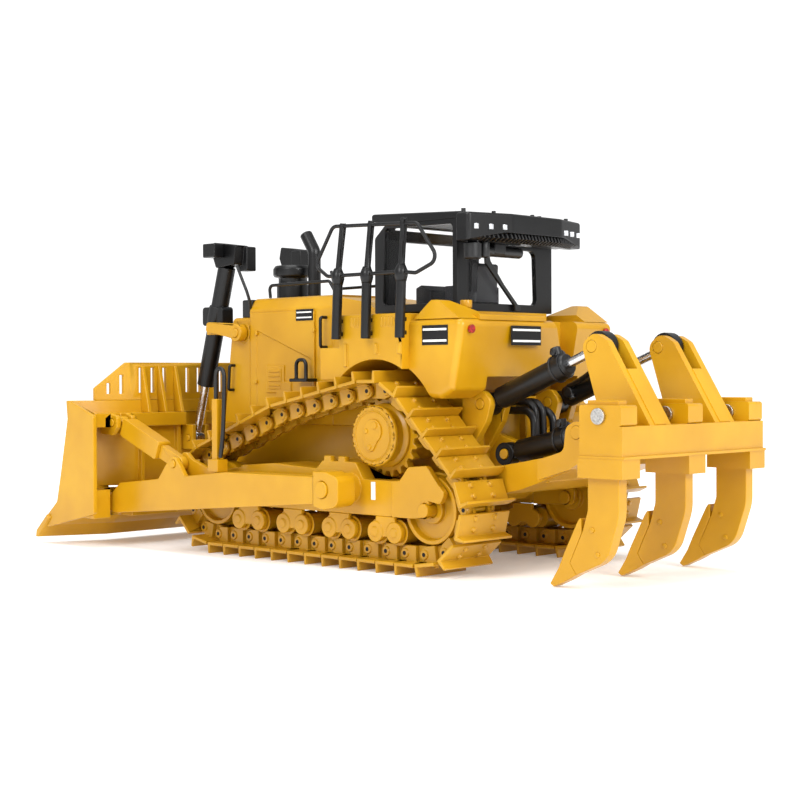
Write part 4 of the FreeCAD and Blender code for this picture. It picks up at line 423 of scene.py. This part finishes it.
def canopy_details():
    """Slots along the canopy's lower rear edge, three small lamps on each end, and bolts on its top."""
    slots = Work()
    for i in range(30):
        y = -14.5 + i
        reach = -37.1 if abs(y) < 7 else -37.1 + (abs(y) - 7) * 0.28
        slots.box((reach + 0.1, y - 0.22, 62.75), (reach + 1.9, y + 0.22, 64.0), 0.06, turn=("Y", 24))
    slots.piece("canopy_slots", paints["black_plastic"], "chassis", "black_plastic")
    lamps = Work()
    for y in (15.4, 12.2, 9.2):
        reach = -34.25 - (17.2 - y) * 0.286
        lamps.box((reach - 0.22, y - 0.55, 64.7), (reach + 0.3, y + 0.55, 65.7), 0.1, turn=("Z", 16))
    lamps.mirror().piece("canopy_lamps", lamp_clear, "chassis", "black_plastic")
    bolts = Work()
    for x, y in ((-31.5, 15.4), (-31.5, 5.0), (-35.2, 11.0), (-35.6, 0.0), (-31.5, -5.0), (-35.2, -11.0)):
        bolts.drum((x, y, 67.7), (x, y, 68.25), 0.4, segments=6)
    for x, y in ((-28, 11.5), (-28, -11.5), (-10, 11.5), (-10, -11.5)):
        bolts.drum((x, y, 68.2), (x, y, 69.3), 0.45, segments=6)
    bolts.piece("roof_bolts", paints["black_paint"], "chassis", "black_paint")
    ducts = Work()
    ducts.drum((-30.4, 8.2, 61.2), (-30.4, -2.4, 61.2), 1.1, bevel=0.3)
    ducts.box((-31.6, 3.0, 60.6), (-29.9, 6.4, 62.7), 0.3)
    ducts.piece("roof_duct", paints["black_plastic"], "chassis", "black_plastic")


def cylinder_details():
    """Ports, gland bolts and hoses on the ripper's cylinders."""
    for body, base, eye, y, reach, name in (
            ("tilt_cylinders", (-33.5, 31.8), TILT_EYE, 10.2, 20.0, "tilt"),
            ("ripper_lift_cylinders", (-36.6, 22.3), (-57.8, 27.0), 8.6, 15.4, "lift")):
        a, b = Vector((base[0], y, base[1])), Vector((eye[0], y, eye[1]))
        way = (b - a).normalized()
        up = Vector((way.z, 0, -way.x)) * (-1 if way.x < 0 else 1)
        if up.z < 0:
            up = -up
        work = Work()
        inward = Vector((0, -1, 0))
        gland, heel = a + way * (reach - 1.6), a + way * 5.4
        for spot, out, height in ((gland, up, 3.9), (heel, inward, 3.1)):
            cross = out.cross(way)
            work.drum(spot + out * 1.4, spot + out * height, 1.0, segments=16, bevel=0.18)
            work.drum(spot + out * (height - 0.95) - cross * 1.3, spot + out * (height - 0.95) + cross * 1.3,
                      0.66, segments=6, bevel=0.08)
        work.drum(a + way * (reach - 0.5), a + way * (reach + 0.35), 2.25, 1.9, bevel=0.12)
        work.drum(a + way * (reach - 2.8), a + way * (reach - 2.3), 2.62, segments=24, bevel=0.1)
        work.mirror().piece(name + "_ports", paints["black_plastic"], body, "black_plastic")
        side_way = inward.cross(way)
        run = [tuple(gland + up * 2.95 + inward * 1.2), tuple(gland + up * 3.0 + inward * 3.2 - way * 0.6),
               tuple(gland + up * 1.6 + inward * 4.1 - way * 3.4), tuple(heel + inward * 3.4 + way * 4.2 + up * 0.9),
               tuple(heel + inward * 2.15 - side_way * 1.2)]
        hose(name + "_hoses", [run, mirrored(run)], 0.55, body)
    eyes = Work()
    x, z = TILT_EYE
    eyes.drum((x, 8.95, z), (x, 11.45, z), 2.8, bevel=0.15)
    eyes.mirror().piece("rod_eyes", paints["black_paint"], "tilt_cylinders", "black_paint")


def wear_plates():
    """Two bolt heads on the wear plate of each ripper shank."""
    work = Work()
    for middle in (-20.0, 0.0, 20.0):
        for x, z in ((-65.9, 10.6), (-67.0, 6.4)):
            work.drum((x, middle - 1.42, z), (x, middle + 1.42, z), 0.5, segments=12, bevel=0.12)
    work.piece("shank_bolts", paints["yellow_paint"], "ripper_head", "yellow_paint")


def lamp_cables():
    """A thin cable from each lift cylinder's lamp bracket down to the box ahead of the hood."""
    run = [(35.9, 14.2, 61.4), (34.6, 13.9, 58.4), (33.6, 13.2, 55.4), (33.9, 12.0, 52.6), (35.2, 10.8, 50.6)]
    hose("lamp_cables", [run, mirrored(run)], 0.35, "chassis")


def post_hose():
    """The looped hose on the blade's hose post, in its yellow guide."""
    x, y = POST
    loop = [(x + 0.4, y, 32.2), (x + 0.4, y, 36.0), (x + 0.3, y, 38.3), (x - 0.9, y, 39.0), (x - 2.2, y, 38.3),
            (x - 2.3, y, 36.0), (x - 2.2, y + 0.1, 30.0), (x - 2.0, y + 0.3, 24.0), (x - 1.4, y + 0.4, 20.6)]
    hose("post_hose", [loop], 0.45, "blade_assembly")


def labels():
    """Plain white labels on the track frame and the ripper link, and plain striped plates on the bodywork."""
    tags = Work()
    tags.box((-18.0, TAG_Y, 13.6), (-16.9, TAG_Y + 0.12, 17.0), 0.03)
    tags.piece("frame_label", label_white, "chassis", "black_plastic", smooth=False)
    tags = Work()
    tags.box((-51.2, 13.5, 19.0), (-50.2, 13.62, 21.8), 0.03, turn=("Y", -12))
    tags.piece("link_label", label_white, "ripper_linkage", "black_plastic", smooth=False)
    plates, stripes = Work(), Work()
    plates.box((-34.4, 23.0, 42.9), (-27.9, 23.2, 46.6), 0.05)
    for z in (43.5, 45.6):
        stripes.box((-34.1, 23.1, z), (-28.2, 23.28, z + 0.4), 0.02)
    plates.box((13.4, 12.4, 48.9), (18.6, 12.66, 51.3), 0.05)
    stripes.box((13.7, 12.6, 49.4), (18.3, 12.74, 49.7), 0.02)
    stripes.box((13.7, 12.6, 50.5), (18.3, 12.74, 50.8), 0.02)
    plates.mirror().box((-38.2, 0.6, 42.9), (-37.98, 9.4, 46.6), 0.05)
    plates.piece("side_plates", matt_black_and_shade_paint, "chassis", "black_paint", smooth=False)
    stripes.mirror()
    for z in (43.5, 45.6):
        stripes.box((-38.28, 0.9, z), (-38.1, 9.1, z + 0.4), 0.02)
    stripes.piece("side_stripes", label_white, "chassis", "black_plastic", smooth=False)


# Matt black enamel for the striped side plates, also used as painted shade on the sunk chain pin ends.
matt_black_and_shade_paint = enamel("matt_black_and_painted_shade", "0B0B0C", "0F0F10", "141416", 0.6, 0.0, dust="2A2A2A")
final_drives()
chain_bosses()
hood_details()
canopy_details()
cylinder_details()
wear_plates()
lamp_cables()
post_hose()
labels()


# ------------------------------------------------------------------ camera, floor and light
def camera():
    """A long lens from behind and to the left, a little above the tracks."""
    yaw, pitch, roll = math.radians(46.01), math.radians(0.94), math.radians(-0.26)
    look = Vector((math.cos(yaw) * math.cos(pitch), -math.sin(yaw) * math.cos(pitch), -math.sin(pitch)))
    right = Vector((-math.sin(yaw), -math.cos(yaw), 0))
    up = right.cross(look)
    right, up = (right * math.cos(roll) + up * math.sin(roll), up * math.cos(roll) - right * math.sin(roll))
    data = bpy.data.cameras.new("view")
    data.sensor_width = 36.0
    data.lens = 71.54
    data.clip_start = 0.01
    made = bpy.data.objects.new("view", data)
    bpy.context.scene.collection.objects.link(made)
    place = Vector((-231.31, 239.86, 37.56)) / 1000 + Vector((SHIFT, 0, 0)) / 1000
    made.matrix_world = Matrix(((right.x, up.x, -look.x, place.x), (right.y, up.y, -look.y, place.y),
                                (right.z, up.z, -look.z, place.z), (0, 0, 0, 1)))
    bpy.context.scene.camera = made


def area_light(name, place, target, size, power, tint="FFFFFF"):
    data = bpy.data.lights.new(name, "AREA")
    data.shape = "DISK"
    data.size = size
    data.energy = power
    data.color = linear(tint)[:3]
    lamp = bpy.data.objects.new(name, data)
    bpy.context.scene.collection.objects.link(lamp)
    lamp.location = place
    lamp.rotation_mode = "QUATERNION"
    lamp.rotation_quaternion = (Vector(target) - Vector(place)).to_track_quat("-Z", "Y")


def studio():
    """A white floor that glows more with distance, so no horizon shows, under three soft lamps."""
    mesh = bpy.data.meshes.new("floor")
    shape = bmesh.new()
    bmesh.ops.create_circle(shape, cap_ends=True, segments=64, radius=3.0)
    shape.to_mesh(mesh)
    shape.free()
    floor = bpy.data.objects.new("floor", mesh)
    bpy.context.scene.collection.objects.link(floor)
    made, tree = new_material("white_card")
    place = add(tree, "ShaderNodeTexCoord").outputs["Object"]
    tooth = add(tree, "ShaderNodeTexNoise", {"Vector": place, "Scale": per_mm(3), "Detail": 2.0})
    colour = ramp(tree, tooth.outputs["Fac"], [(0.3, "F6F6F6"), (0.7, "FAFAFA")])
    away = add(tree, "ShaderNodeVectorMath", {"Vector": place}, operation="LENGTH")
    lift = add(tree, "ShaderNodeMapRange", {"Value": away.outputs["Value"], "From Min": 0.1, "From Max": 0.6,
                                            "To Min": 0.18, "To Max": 0.75})
    shader = add(tree, "ShaderNodeBsdfPrincipled", {
        "Base Color": colour, "Roughness": 0.9, "Specular IOR Level": 0.1, "Emission Color": colour,
        "Emission Strength": lift.outputs["Result"]})
    add(tree, "ShaderNodeOutputMaterial", {"Surface": shader.outputs["BSDF"]})
    mesh.materials.append(made)
    # The backdrop is brighter to the lens than the light it gives, which keeps the undersides deep.
    world = bpy.data.worlds.new("studio")
    world.use_nodes = True
    world.node_tree.nodes["Background"].inputs["Color"].default_value = (1, 1, 1, 1)
    sweep = add(world.node_tree, "ShaderNodeMapRange", {
        "Value": add(world.node_tree, "ShaderNodeLightPath").outputs["Is Camera Ray"], "To Min": 0.62, "To Max": 1.15})
    world.node_tree.links.new(sweep.outputs["Result"], world.node_tree.nodes["Background"].inputs["Strength"])
    bpy.context.scene.world = world
    area_light("key", (-0.15, 0.75, 0.5), (0, 0, 0.03), 0.45, 3.8)
    area_light("top", (0.05, 0.1, 0.95), (0, 0, 0), 0.7, 4.6)
    area_light("rear", (-0.75, 0.1, 0.4), (0, 0, 0.03), 0.4, 4.6)
    bpy.context.scene.view_settings.view_transform = "Standard"


camera()
studio()
